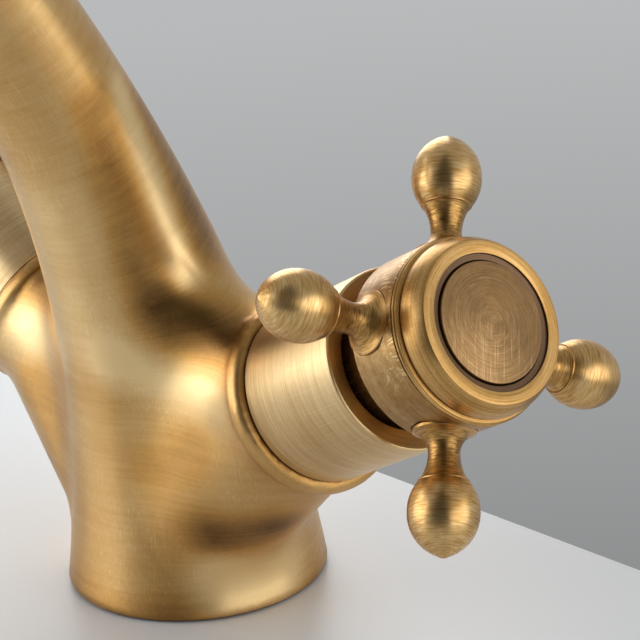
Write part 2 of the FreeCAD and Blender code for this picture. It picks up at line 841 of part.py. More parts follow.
def make_seat_seal(side, sign):
    inner, outer = size("seat_seal_inner_radius"), size("seat_seal_outer_radius")
    return turned_piece(f"{side}_seat_seal", valve_frame(sign), [
        (inner, POCKET_FLOOR), (outer, POCKET_FLOOR), (outer, HOUSING_FOOT), (inner, HOUSING_FOOT),
    ])


def make_disc(label, placement, radius, foot, port_turn):
    """Lapped ceramic disc with two ports opposite each other."""
    body = new_body(label, placement)
    top = foot + size("disc_height")
    turn(body, "blank", [(0, foot), (radius, foot), (radius, top), (0, top)])
    port = new_sketch(body, "port_outline", "XY_Plane", place(axis="z", angle=port_turn))
    draw_circle(port, size("disc_port_offset"), ZERO, size("disc_port_radius"))
    repeat_round(body, "ports", [cut(body, "port", port)], PORT_COUNT)
    return body


def make_spindle(side, sign):
    """Stainless spindle with a foot on the moving disc, two grooves, and a square for the hub."""
    body = new_body(f"{side}_spindle", handle_frame(sign))
    radius, thrust = size("spindle_radius"), size("spindle_thrust_radius")
    foot_top = SPINDLE_FOOT + size("spindle_foot_height")
    thrust_top = CAVITY_TOP - size("spindle_thrust_gap")
    bore = radius + size("spindle_clearance")
    thickness = size("spindle_seal_thickness")
    floor, groove_foot, groove_top = seal_groove(bore, SPINDLE_SEAL_HEIGHT, thickness)
    clip_floor = radius - size("circlip_groove_depth")
    clip_foot = CIRCLIP_FOOT - size("circlip_clearance")
    clip_top = CIRCLIP_FOOT + size("circlip_height") + size("circlip_clearance")
    turn(body, "turning", [
        (0, SPINDLE_FOOT),
        (size("spindle_foot_radius"), SPINDLE_FOOT),
        (size("spindle_foot_radius"), foot_top),
        (thrust, foot_top),
        (thrust, thrust_top),
        (radius, thrust_top),
        (radius, groove_foot),
        (floor, groove_foot),
        (floor, groove_top),
        (radius, groove_top),
        (radius, clip_foot),
        (clip_floor, clip_foot),
        (clip_floor, clip_top),
        (radius, clip_top),
        (radius, SPINDLE_SHOULDER),
        (0, SPINDLE_SHOULDER),
    ])
    half = size("spindle_square") / 2
    square = new_sketch(body, "square_outline", "XY_Plane", place(up=SPINDLE_SHOULDER))
    draw_rectangle(square, -half, half, -half, half)
    pad(body, "square", square, size("spindle_square_length"))
    hole_radius = size("screw_radius") + size("stud_clearance")
    hole = circle_sketch(body, "screw_hole_outline", "XY_Plane", hole_radius, place(up=SPINDLE_TOP))
    cut(body, "screw_hole", hole, size("screw_length"), forwards=False)
    return body


def make_circlip(side, sign):
    body = new_body(f"{side}_circlip", handle_frame(sign))
    inner = size("spindle_radius") - size("circlip_groove_depth") + size("circlip_clearance")
    outer = inner + size("circlip_width")
    top = CIRCLIP_FOOT + size("circlip_height")
    turn(body, "ring", [(inner, CIRCLIP_FOOT), (outer, CIRCLIP_FOOT), (outer, top), (inner, top)])
    half = size("circlip_opening") / 2
    opening = new_sketch(body, "opening_outline", "XY_Plane")
    draw_rectangle(opening, ZERO, outer + half, -half, half)
    cut(body, "opening", opening)
    return body


# Cross handle on each spindle.

def make_handle_hub(side, sign):
    """Turned drum on a stem, with a square socket and four seats for the arms."""
    body = new_body(f"{side}_handle_hub", handle_frame(sign))
    stem_foot = HUB_FOOT - size("hub_stem_length")
    stem_bore = size("spindle_radius") + size("screw_clearance")
    screw_way = size("screw_radius") + size("screw_clearance")
    edge = size("hub_edge")
    turn(body, "turning", [
        (stem_bore, stem_foot),
        (size("hub_stem_radius"), stem_foot),
        (size("hub_stem_radius"), HUB_FOOT),
        (size("hub_radius") - edge, HUB_FOOT),
        (size("hub_radius"), HUB_FOOT + edge, -(edge * QUARTER_ROUND)),
        (size("hub_radius"), HUB_TOP),
        (size("head_room_radius"), HUB_TOP),
        (size("head_room_radius"), HUB_WEB_TOP),
        (screw_way, HUB_WEB_TOP),
        (screw_way, SPINDLE_SHOULDER),
        (stem_bore, SPINDLE_SHOULDER),
    ])
    half = size("spindle_square") / 2 + size("socket_clearance")
    socket = new_sketch(body, "socket_outline", "XY_Plane", place(up=SPINDLE_SHOULDER))
    draw_rectangle(socket, -half, half, -half, half)
    cut(body, "socket", socket, size("spindle_square_length"))
    seats = []
    for name, radius, reach in (
        ("seat", size("arm_foot_radius"), size("arm_seat_reach")),
        ("stud_hole", size("arm_stud_radius"), size("arm_seat_reach") - size("arm_stud_length")),
    ):
        outline = new_sketch(body, f"{name}_outline", "YZ_Plane", place(up=reach))
        plane = HUB_FOOT + size("arm_plane_rise")
        draw_circle(outline, ZERO, plane, radius + size("arm_fit_clearance"))
        seats.append(cut(body, name, outline))
    repeat_round(body, "seats", seats, CROSS_ARMS)
    return body


def make_handle_arm(side, sign, number):
    """Turned arm: screwed stud, trumpet foot, narrow neck, thin ring and a pointed ball."""
    plane = HUB_FOOT + size("arm_plane_rise")
    about = FULL_TURN * number / CROSS_ARMS
    frame = f"{handle_frame(sign)} * {place(up=plane, axis='z', angle=about)}"
    frame = f"{frame} * {place(axis='y', angle=QUARTER_TURN)}"
    seat = size("arm_seat_reach")
    ring_top = size("arm_ring_reach") + size("arm_ring_width")
    return turned_piece(f"{side}_handle_arm_{number + 1}", frame, [
        (0, seat - size("arm_stud_length")),
        (size("arm_stud_radius"), seat - size("arm_stud_length")),
        (size("arm_stud_radius"), seat),
        (size("arm_foot_radius"), seat),
        (size("arm_foot_radius"), seat + size("arm_foot_height")),
        (size("arm_neck_radius"), size("arm_neck_reach"), size("arm_foot_bulge")),
        (size("arm_ring_root_radius"), size("arm_ring_reach"), size("arm_neck_bulge")),
        (size("arm_ring_radius"), size("arm_ring_reach")),
        (size("arm_ring_radius"), ring_top),
        (size("ball_root_radius"), ring_top),
        (size("ball_radius"), size("ball_reach"), -size("ball_lower_bulge")),
        (size("ball_tip_radius"), size("ball_tip_reach"), -size("ball_upper_bulge")),
        (0, size("arm_tip_reach")),
    ])


def make_handle_bezel(side, sign):
    """Ring on the hub: a thin bead, a groove, a rounded shoulder and a flat face round the cap."""
    bore = size("cap_radius") + size("cap_clearance")
    bead_root = size("bezel_bead_radius") - size("bezel_bead_bulge")
    bead_top = HUB_TOP + size("bezel_bead_width")
    groove_top = bead_top + size("bezel_groove_width")
    recess = HANDLE_FACE - size("bezel_recess_depth")
    return turned_piece(f"{side}_handle_bezel", handle_frame(sign), [
        (bore, HUB_TOP),
        (bead_root, HUB_TOP),
        (bead_root, bead_top, -size("bezel_bead_bulge")),
        (size("bezel_groove_radius"), bead_top),
        (size("bezel_groove_radius"), groove_top),
        (size("bezel_shoulder_radius"), groove_top),
        (size("bezel_face_radius"), HANDLE_FACE, -size("bezel_face_bulge")),
        (size("bezel_recess_radius"), HANDLE_FACE),
        (size("bezel_recess_radius"), recess),
        (bore, recess),
    ])


def make_handle_cap(side, sign):
    """Blank cap with a skirt, flush with the bezel's face, over the handle screw."""
    face = HANDLE_FACE - size("cap_drop")
    underside = face - size("cap_thickness")
    skirt = size("cap_radius") - size("cap_wall")
    return turned_piece(f"{side}_handle_cap", handle_frame(sign), [
        (0, underside),
        (skirt, underside),
        (skirt, HUB_TOP),
        (size("cap_radius"), HUB_TOP),
        (size("cap_radius"), face - size("cap_edge")),
        (size("cap_radius") - size("cap_edge"), face),
        (0, face),
    ])


def make_handle_screw(side, sign):
    body = new_body(f"{side}_handle_screw", handle_frame(sign))
    head_top = HUB_WEB_TOP + size("screw_head_height")
    shank_foot = HUB_WEB_TOP - size("screw_length")
    turn(body, "turning", [
        (0, shank_foot),
        (size("screw_radius"), shank_foot),
        (size("screw_radius"), HUB_WEB_TOP),
        (size("screw_head_radius"), HUB_WEB_TOP),
        (size("screw_head_radius"), head_top),
        (0, head_top),
    ])
    half = size("screw_slot_width") / 2
    reach = size("screw_head_radius") + half
    slot = new_sketch(body, "slot_outline", "XY_Plane", place(up=head_top))
    draw_rectangle(slot, -reach, reach, -half, half)
    cut(body, "slot", slot, size("screw_slot_depth"), forwards=False)
    return body


def make_valve(side, sign):
    """Everything on one valve axis, from the seat seal out to the handle cap."""
    still, turning = valve_frame(sign), handle_frame(sign)
    bore = size("spindle_radius") + size("spindle_clearance")
    fixed_radius = size("housing_cavity_radius") - size("disc_clearance")
    pieces = [
        make_seat_seal(side, sign),
        make_headwork_housing(side, sign),
        make_ring_seal(
            f"{side}_headwork_seal", still, size("pocket_radius"), HEADWORK_SEAL_HEIGHT,
            size("headwork_seal_thickness"),
        ),
        make_disc(f"{side}_fixed_disc", still, fixed_radius, HOUSING_FOOT, ZERO),
        make_disc(f"{side}_moving_disc", still, size("moving_disc_radius"), MOVING_FOOT, QUARTER_TURN),
        make_spindle(side, sign),
        make_ring_seal(
            f"{side}_spindle_seal", turning, bore, SPINDLE_SEAL_HEIGHT, size("spindle_seal_thickness"),
        ),
        make_circlip(side, sign),
        make_valve_sleeve(side, sign),
        make_handle_hub(side, sign),
    ]
    pieces += [make_handle_arm(side, sign, number) for number in range(CROSS_ARMS)]
    pieces += [make_handle_bezel(side, sign), make_handle_screw(side, sign), make_handle_cap(side, sign)]
    return pieces


pieces = [make_body_casting(), make_base_gasket(), make_fixing_stud()]
pieces += make_deck_clamp()
pieces += [make_aerator_washer(), make_aerator_insert(), make_aerator_housing()]
for side, sign in SIDES.items():
    pieces += make_valve(side, sign)

doc.recompute()
for item in doc.Objects:
    if "Invalid" in item.State or "Error" in item.State:
        raise RuntimeError(f"{item.Label} failed: {item.State}")
for piece in pieces:
    if piece.Shape.isNull() or not piece.Shape.isValid() or len(piece.Shape.Solids) != 1:
        raise RuntimeError(f"{piece.Label} isn't one valid solid")

os.makedirs("parts", exist_ok=True)
for piece in pieces:
    piece.Shape.exportStep(f"parts/{piece.Label}.step")
    print(piece.Label, round(piece.Shape.Volume, 1))
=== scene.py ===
from math import atan2, cos, hypot, pi, radians, sin

import bpy
from mathutils import Matrix, Vector


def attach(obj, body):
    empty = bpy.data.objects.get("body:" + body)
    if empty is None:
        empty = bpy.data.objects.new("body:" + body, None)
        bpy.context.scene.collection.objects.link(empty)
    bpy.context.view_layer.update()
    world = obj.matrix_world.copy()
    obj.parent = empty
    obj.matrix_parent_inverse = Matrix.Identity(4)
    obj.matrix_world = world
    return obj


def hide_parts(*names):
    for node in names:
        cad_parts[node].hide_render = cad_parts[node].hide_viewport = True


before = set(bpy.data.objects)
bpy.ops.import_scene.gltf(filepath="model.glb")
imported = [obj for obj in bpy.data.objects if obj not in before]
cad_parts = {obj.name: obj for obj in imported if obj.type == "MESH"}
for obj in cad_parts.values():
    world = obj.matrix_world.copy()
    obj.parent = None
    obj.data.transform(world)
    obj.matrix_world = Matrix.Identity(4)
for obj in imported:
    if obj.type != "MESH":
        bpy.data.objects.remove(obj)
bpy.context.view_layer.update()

# Body: one brass sand casting from foot to spout end, with an arm for each valve. It is linished across
# its length, which leaves fine lines round it, given an antique stain that stays in the hollows, and
# lacquered. Painted shade darkens its valleys and creases round the arms and streaks down the neck, and
# painted highlights lighten the arm tops, a band down the neck and the foot below each arm.
MM = 0.001
SIDES = {"cold": 1, "hot": -1}
VALVE_HEIGHT = 23.5 * MM
ARM_RISE = radians(28)
NECK_RADIUS = 212 * MM
NECK_TURN = radians(38)
ARCH_RADIUS = 42 * MM
CAST_GRID = 0.8 * MM
BLEND_ROUNDS = 10
BLEND_PASSES = 30
BLEND_START, BLEND_END = 6 * MM, 37.5 * MM
BLEND_INSIDE, BLEND_OUTSIDE = 14 * MM, 40 * MM
FULL_HOLLOW = 0.002 * MM
COLLAR_START, COLLAR_REACH = 39.0 * MM, 20 * MM
FOOT_TOP, FOOT_FADE = 4.0 * MM, 2.0 * MM
WEB_START, WEB_END = Vector((0, -3.5, 10)) * MM, Vector((32, -0.5, 40.5)) * MM
WEB_ROOT, WEB_TIP = 16.5 * MM, 15 * MM
CORE_RADIUS, POCKET_RADIUS = 17 * MM, 14.5 * MM
SMOOTH_ANGLE = radians(35)
MERGE_DISTANCE = 0.004 * MM
EDGE_ROUND = 0.18 * MM
EDGE_ANGLE = radians(40)
TURN_STEPS = 96


def start_shape():
    """Leave edit mode and deselect all, so that the next operator acts on its own piece."""
    if bpy.context.object and bpy.context.object.mode != "OBJECT":
        bpy.ops.object.mode_set(mode="OBJECT")
    bpy.ops.object.select_all(action="DESELECT")


def pick(piece):
    start_shape()
    piece.select_set(True)
    bpy.context.view_layer.objects.active = piece


def merge_shape(piece, outwards=True):
    """Join the loose corners of a piece and, where asked, turn its faces outwards."""
    pick(piece)
    bpy.ops.object.mode_set(mode="EDIT")
    bpy.ops.mesh.select_all(action="SELECT")
    bpy.ops.mesh.remove_doubles(threshold=MERGE_DISTANCE)
    if outwards:
        bpy.ops.mesh.normals_make_consistent(inside=False)
    bpy.ops.object.mode_set(mode="OBJECT")


def work_on(piece, kind, **settings):
    """Put a modifier on a piece and apply it."""
    pick(piece)
    tool = piece.modifiers.new(kind.lower(), kind)
    for name, value in settings.items():
        setattr(tool, name, value)
    bpy.ops.object.modifier_apply(modifier=tool.name)


def finish_shape(piece):
    pick(piece)
    bpy.ops.object.shade_smooth_by_angle(angle=SMOOTH_ANGLE)


def save_grain(piece, grain_at):
    """Keep each corner's place on the work, with Z as the axis of the finishing lines, and their way."""
    for name in ("grain", "sweep"):
        if name in piece.data.attributes:
            piece.data.attributes.remove(piece.data.attributes[name])
    grain = piece.data.attributes.new("grain", "FLOAT_VECTOR", "POINT")
    sweep = piece.data.attributes.new("sweep", "FLOAT_VECTOR", "POINT")
    for corner, place, along in zip(piece.data.vertices, grain.data, sweep.data):
        place.vector, along.vector = grain_at(corner.co)


def turned_grain(point):
    return point, Vector((-point.y, point.x, 0))


def bowed(first, last, height, steps=10):
    """Points of an arc from one corner of a profile to the next, bowed outwards by a height."""
    first, last = Vector(first), Vector(last)
    chord = last - first
    half = chord.length / 2
    radius = (half * half + height * height) / (2 * height)
    side = Vector((chord.y, -chord.x)).normalized()
    centre = (first + last) / 2 + side * (height - radius)
    start = first - centre
    sweep = start.angle_signed(last - centre)
    points = []
    for step in range(1, steps):
        angle = -sweep * step / steps
        points.append(tuple(centre + Matrix.Rotation(angle, 2) @ start))
    return points


def drawn_line(name, points):
    """Extrude one corner from point to point, and stay in edit mode."""
    start_shape()
    bpy.ops.mesh.primitive_plane_add(size=MM)
    piece = bpy.context.object
    piece.name = name
    bpy.ops.object.mode_set(mode="EDIT")
    bpy.ops.mesh.merge(type="CENTER")
    bpy.ops.transform.translate(value=points[0])
    for last, point in zip(points, points[1:]):
        bpy.ops.mesh.extrude_region_move(TRANSFORM_OT_translate={"value": point - last})
    return piece


def turned_shape(name, profile, closed=True, edge=EDGE_ROUND):
    """Spin a profile of radii and heights in millimetres round Z, and round its edges."""
    points = [Vector((radius * MM, 0, height * MM)) for radius, height in profile]
    if closed:
        points.append(points[0])
    piece = drawn_line(name, points)
    bpy.ops.mesh.select_all(action="SELECT")
    bpy.ops.mesh.spin(steps=TURN_STEPS, angle=2 * pi, center=(0, 0, 0), axis=(0, 0, 1))
    bpy.ops.object.mode_set(mode="OBJECT")
    merge_shape(piece)
    if edge:
        work_on(piece, "BEVEL", width=edge, segments=3, limit_method="ANGLE", angle_limit=EDGE_ANGLE)
    finish_shape(piece)
    save_grain(piece, turned_grain)
    return piece


def put(piece, place):
    """Lay a shape that was made round Z in its place, with the place kept in its mesh."""
    pick(piece)
    piece.matrix_world = place
    bpy.ops.object.transform_apply(location=True, rotation=True, scale=True)
    for along in piece.data.attributes["sweep"].data:
        along.vector = place.to_3x3() @ along.vector
    return piece


def copy_of(shape, name):
    made = bpy.data.objects.new(name, shape.data.copy())
    bpy.context.collection.objects.link(made)
    return made


def valve_place(sign):
    return Matrix.Translation((0, 0, VALVE_HEIGHT)) @ Matrix.Rotation(sign * (pi / 2 - ARM_RISE), 4, "Y")


INTO_VALVE = {sign: valve_place(sign).inverted() for sign in SIDES.values()}


def straightened(point):
    """Place on the casting as if its neck and spout were pulled straight, and which way is round it."""
    for sign, into_valve in INTO_VALVE.items():
        local = into_valve @ point
        if local.z > COLLAR_START and hypot(local.x, local.y) < COLLAR_REACH:
            return local, valve_place(sign).to_3x3() @ Vector((-local.y, local.x, 0))
    lean = atan2(point.z, point.y + NECK_RADIUS)
    if lean < NECK_TURN:
        depth = hypot(point.z, point.y + NECK_RADIUS) - NECK_RADIUS
        length = NECK_RADIUS * lean
    else:
        reach = NECK_RADIUS - ARCH_RADIUS
        across, up = point.y + NECK_RADIUS - reach * cos(NECK_TURN), point.z - reach * sin(NECK_TURN)
        lean = atan2(up, across)
        if lean < -pi / 2:
            lean += 2 * pi
        depth = hypot(up, across) - ARCH_RADIUS
        length = NECK_RADIUS * NECK_TURN + ARCH_RADIUS * (lean - NECK_TURN)
    outwards = Vector((0, cos(lean), sin(lean)))
    return Vector((point.x, depth, length)), point.x * outwards - Vector((depth, 0, 0))


def mark_hollows(piece):
    """Vertex group of the corners round the arm roots that lie behind the middle of their neighbours."""
    group = piece.vertex_groups.new(name="hollows")
    corners = piece.data.vertices
    total = [Vector() for corner in corners]
    count = [0] * len(corners)
    for edge in piece.data.edges:
        first, last = edge.vertices
        total[first] += corners[last].co
        total[last] += corners[first].co
        count[first] += 1
        count[last] += 1
    for corner in corners:
        local = INTO_VALVE[1 if corner.co.x > 0 else -1] @ corner.co
        round_axis = hypot(local.x, local.y)
        at_root = BLEND_START < local.z < BLEND_END and BLEND_INSIDE < round_axis < BLEND_OUTSIDE
        if at_root and count[corner.index]:
            rise = (total[corner.index] / count[corner.index] - corner.co).dot(corner.normal)
            if rise > 0:
                group.add([corner.index], min(1, rise / FULL_HOLLOW), "REPLACE")


def even_foot(piece):
    """Lay the corners round the foot on its turned profile, so that its lower edge is even."""
    profile = [Vector(point) * MM for point in (
        (21.5, 0), (22.9, 0), *bowed((22.9, 0), (23.82, 1.1), 0.28, 8), (23.82, 1.1), (23.24, 5.0),
    )]
    for corner in piece.data.vertices:
        radius = hypot(corner.co.x, corner.co.y)
        if corner.co.z >= FOOT_TOP or radius <= profile[0].x:
            continue
        here = Vector((radius, corner.co.z))
        on_profile = []
        for first, last in zip(profile, profile[1:]):
            run = (here - first).dot(last - first) / (last - first).length_squared
            on_profile.append(first.lerp(last, max(0, min(1, run))))
        nearest = min(on_profile, key=lambda point: (point - here).length)
        if (nearest - here).length < CAST_GRID:
            there = here.lerp(nearest, min(1, (FOOT_TOP - corner.co.z) / FOOT_FADE))
            corner.co = (corner.co.x * there.x / radius, corner.co.y * there.x / radius, there.y)


def fill_under_arms(piece):
    """Push the outer skin below each arm out to a slanting cone, which carries the arm into the column."""
    span = WEB_END - WEB_START
    for corner in piece.data.vertices:
        sign = 1 if corner.co.x > 0 else -1
        local = INTO_VALVE[sign] @ corner.co
        if hypot(corner.co.x, corner.co.y) < CORE_RADIUS or hypot(local.x, local.y) < POCKET_RADIUS:
            continue
        point = Vector((abs(corner.co.x), corner.co.y, corner.co.z))
        run = (point - WEB_START).dot(span) / span.length_squared
        middle = WEB_START + run * span
        reach = WEB_ROOT + run * (WEB_TIP - WEB_ROOT)
        if 0 < run < 1 and (point - middle).length < reach:
            point = middle + (point - middle).normalized() * reach
            corner.co = (sign * point.x, point.y, point.z)


cast_body = copy_of(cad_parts["body_casting"], "cast_body")
merge_shape(cast_body, outwards=False)
work_on(cast_body, "REMESH", mode="VOXEL", voxel_size=CAST_GRID)
work_on(cast_body, "SMOOTH", factor=0.5, iterations=5)
fill_under_arms(cast_body)
for blend_round in range(BLEND_ROUNDS):
    mark_hollows(cast_body)
    work_on(cast_body, "SMOOTH", factor=0.8, iterations=BLEND_PASSES, vertex_group="hollows")
    cast_body.vertex_groups.clear()
even_foot(cast_body)
collar_shape = turned_shape("collar_shape", [
    (12.5, 38.6), (15.9, 38.6), *bowed((15.9, 38.6), (15.75, 42.45), 1.1, 14), (15.75, 42.45), (15.1, 42.7),
    (12.5, 42.7),
], edge=0)
for side, sign in SIDES.items():
    collar = put(copy_of(collar_shape, f"{side}_collar"), valve_place(sign))
    work_on(cast_body, "BOOLEAN", operation="UNION", object=collar, solver="EXACT")
    bpy.data.objects.remove(collar)
bpy.data.objects.remove(collar_shape)
finish_shape(cast_body)
save_grain(cast_body, straightened)


def add_node(tree, kind, **settings):
    made = tree.nodes.new(kind)
    for name, value in settings.items():
        setattr(made, name, value)
    return made


def feed(tree, node, **links):
    """Give a node's inputs, by name or as i and a number, their values or the sockets that feed them."""
    for name, value in links.items():
        socket = node.inputs[int(name[1:])] if name[1:].isdigit() else node.inputs[name.replace("_", " ")]
        if isinstance(value, bpy.types.NodeSocket):
            tree.links.new(value, socket)
        else:
            socket.default_value = value
    return node


def math_of(tree, operation, *values):
    return feed(tree, add_node(tree, "ShaderNodeMath", operation=operation),
                **{f"i{number}": value for number, value in enumerate(values)}).outputs[0]


def crisp_mask(tree, value, start, end):
    return feed(tree, add_node(tree, "ShaderNodeMapRange"), Value=value, From_Min=start,
                From_Max=end).outputs[0]


def new_group(name, inputs, outputs):
    """Node group with named sockets."""
    tree = bpy.data.node_groups.new(name, "ShaderNodeTree")
    for title, kind in inputs.items():
        tree.interface.new_socket(title, in_out="INPUT", socket_type=f"NodeSocket{kind}")
    for title, kind in outputs.items():
        tree.interface.new_socket(title, in_out="OUTPUT", socket_type=f"NodeSocket{kind}")
    return tree, add_node(tree, "NodeGroupInput").outputs, add_node(tree, "NodeGroupOutput")


COARSE_LINES, COARSE_BREAKS = 0.16, 0.6


def make_finishing_lines():
    """Fine lines round the Z axis of the grain: the marks of a lathe or a belt, broken along their length."""
    tree, given, out = new_group(
        "finishing_lines",
        {"Grain": "Vector", "Lines per metre": "Float", "Breaks per turn": "Float", "Face share": "Float"},
        {"Lines": "Float", "Bands": "Float"},
    )
    parts = feed(tree, add_node(tree, "ShaderNodeSeparateXYZ"), i0=given["Grain"])
    flat = feed(tree, add_node(tree, "ShaderNodeCombineXYZ"), X=parts.outputs["X"], Y=parts.outputs["Y"])
    radius = feed(tree, add_node(tree, "ShaderNodeVectorMath", operation="LENGTH"), i0=flat.outputs[0])
    faced = math_of(tree, "MULTIPLY", radius.outputs["Value"], given["Face share"])
    around = feed(tree, add_node(tree, "ShaderNodeVectorMath", operation="NORMALIZE"), i0=flat.outputs[0])
    turns = feed(tree, add_node(tree, "ShaderNodeSeparateXYZ"), i0=around.outputs[0])

    def lines(pitch, breaks, detail):
        where = feed(
            tree, add_node(tree, "ShaderNodeCombineXYZ"),
            X=math_of(tree, "MULTIPLY", parts.outputs["Z"], pitch),
            Y=math_of(tree, "MULTIPLY", faced, pitch),
            Z=math_of(tree, "MULTIPLY", turns.outputs["X"], breaks),
        )
        noise = add_node(tree, "ShaderNodeTexNoise", noise_dimensions="4D")
        feed(tree, noise, Vector=where.outputs[0], W=math_of(tree, "MULTIPLY", turns.outputs["Y"], breaks),
             Scale=1.0, Detail=detail)
        return crisp_mask(tree, noise.outputs[0], 0.3, 0.7)

    fine = lines(given["Lines per metre"], given["Breaks per turn"], detail=3.0)
    coarse = lines(math_of(tree, "MULTIPLY", given["Lines per metre"], COARSE_LINES),
                   math_of(tree, "MULTIPLY", given["Breaks per turn"], COARSE_BREAKS), detail=2.0)
    feed(tree, out, Lines=fine, Bands=coarse)
    return tree


def make_patina():
    """Cloudy stain, with a small even mottle, as the antique finish takes on brass."""
    tree, given, out = new_group(
        "patina", {"Place": "Vector", "Clouds per metre": "Float", "Mottle per metre": "Float"},
        {"Clouds": "Float", "Mottle": "Float"},
    )
    for name, detail in (("Clouds", 3.0), ("Mottle", 4.0)):
        noise = add_node(tree, "ShaderNodeTexNoise")
        feed(tree, noise, Vector=given["Place"], Scale=given[f"{name} per metre"], Detail=detail)
        feed(tree, out, **{name: noise.outputs[0]})
    return tree


def make_wear_and_shade():
    """Stain held in fine hollows, metal rubbed bright on edges, and painted shade that darkens broad concave
    blends.
    """
    tree, given, out = new_group(
        "wear_and_shade", {"Hollow reach": "Float", "Valley reach": "Float", "Edge reach": "Float"},
        {"Hollow": "Float", "Valley": "Float", "Edge": "Float"},
    )
    masks = {"Hollow": (False, 0.25, 0.75), "Valley": (False, 0.1, 0.5), "Edge": (True, 0.3, 0.7)}
    for name, (inside, start, end) in masks.items():
        shade = add_node(tree, "ShaderNodeAmbientOcclusion", inside=inside, only_local=inside, samples=8)
        feed(tree, shade, Distance=given[f"{name} reach"])
        covered = math_of(tree, "SUBTRACT", 1.0, shade.outputs["AO"])
        mask = add_node(tree, "ShaderNodeMapRange", interpolation_type="SMOOTHSTEP")
        feed(tree, mask, Value=covered, From_Min=start, From_Max=end)
        feed(tree, out, **{name: mask.outputs[0]})
    return tree


def make_scratches():
    """Long thin scratches along the Z axis of a place, in patches."""
    tree, given, out = new_group(
        "scratches",
        {"Place": "Vector", "Across per metre": "Float", "Along per metre": "Float", "Sway": "Vector"},
        {"Scratches": "Float"},
    )
    scale = feed(tree, add_node(tree, "ShaderNodeCombineXYZ"), X=given["Across per metre"],
                 Y=given["Across per metre"], Z=given["Along per metre"])
    sway = feed(tree, add_node(tree, "ShaderNodeTexNoise"), Vector=given["Place"], Scale=90.0, Detail=0.0)
    moved = feed(tree, add_node(tree, "ShaderNodeVectorMath", operation="MULTIPLY_ADD"),
                 i0=sway.outputs["Color"], i1=given["Sway"], i2=given["Place"])
    where = feed(tree, add_node(tree, "ShaderNodeVectorMath", operation="MULTIPLY"),
                 i0=moved.outputs[0], i1=scale.outputs[0])
    noise = feed(tree, add_node(tree, "ShaderNodeTexNoise"), Vector=where.outputs[0], Scale=1.0, Detail=1.0)
    cut = crisp_mask(tree, noise.outputs[0], 0.57, 0.7)
    spread = feed(tree, add_node(tree, "ShaderNodeTexNoise"), Vector=given["Place"], Scale=55.0, Detail=1.0)
    patch = crisp_mask(tree, spread.outputs[0], 0.42, 0.62)
    feed(tree, out, Scratches=math_of(tree, "MULTIPLY", cut, patch))
    return tree


def make_soft_mark():
    """Soft mark round a line from Start along Span, which lightens or darkens the colour there; on the cast
    body these are painted highlights and painted shade.
    """
    tree, given, out = new_group(
        "soft_mark", {"Place": "Vector", "Start": "Vector", "Span": "Vector", "Radius": "Float"},
        {"Mark": "Float"},
    )

    def vectors(operation, first, second):
        return feed(tree, add_node(tree, "ShaderNodeVectorMath", operation=operation), i0=first, i1=second)

    from_start = vectors("SUBTRACT", given["Place"], given["Start"]).outputs[0]
    run = math_of(tree, "DIVIDE", vectors("DOT_PRODUCT", from_start, given["Span"]).outputs["Value"],
                  vectors("DOT_PRODUCT", given["Span"], given["Span"]).outputs["Value"])
    held = math_of(tree, "MINIMUM", math_of(tree, "MAXIMUM", run, 0.0), 1.0)
    nearest = feed(tree, add_node(tree, "ShaderNodeVectorMath", operation="SCALE"), i0=given["Span"],
                   Scale=held)
    off = vectors("DISTANCE", from_start, nearest.outputs[0]).outputs["Value"]
    mark = feed(tree, add_node(tree, "ShaderNodeMapRange", interpolation_type="SMOOTHSTEP"), Value=off,
                From_Min=given["Radius"], From_Max=0.0)
    feed(tree, out, Mark=mark.outputs[0])
    return tree


finishing_lines = make_finishing_lines()
soft_mark = make_soft_mark()
patina = make_patina()
wear_and_shade = make_wear_and_shade()
scratches = make_scratches()


MIDDLE_TONE, BRIGHT_TONE = 0.45, 0.95


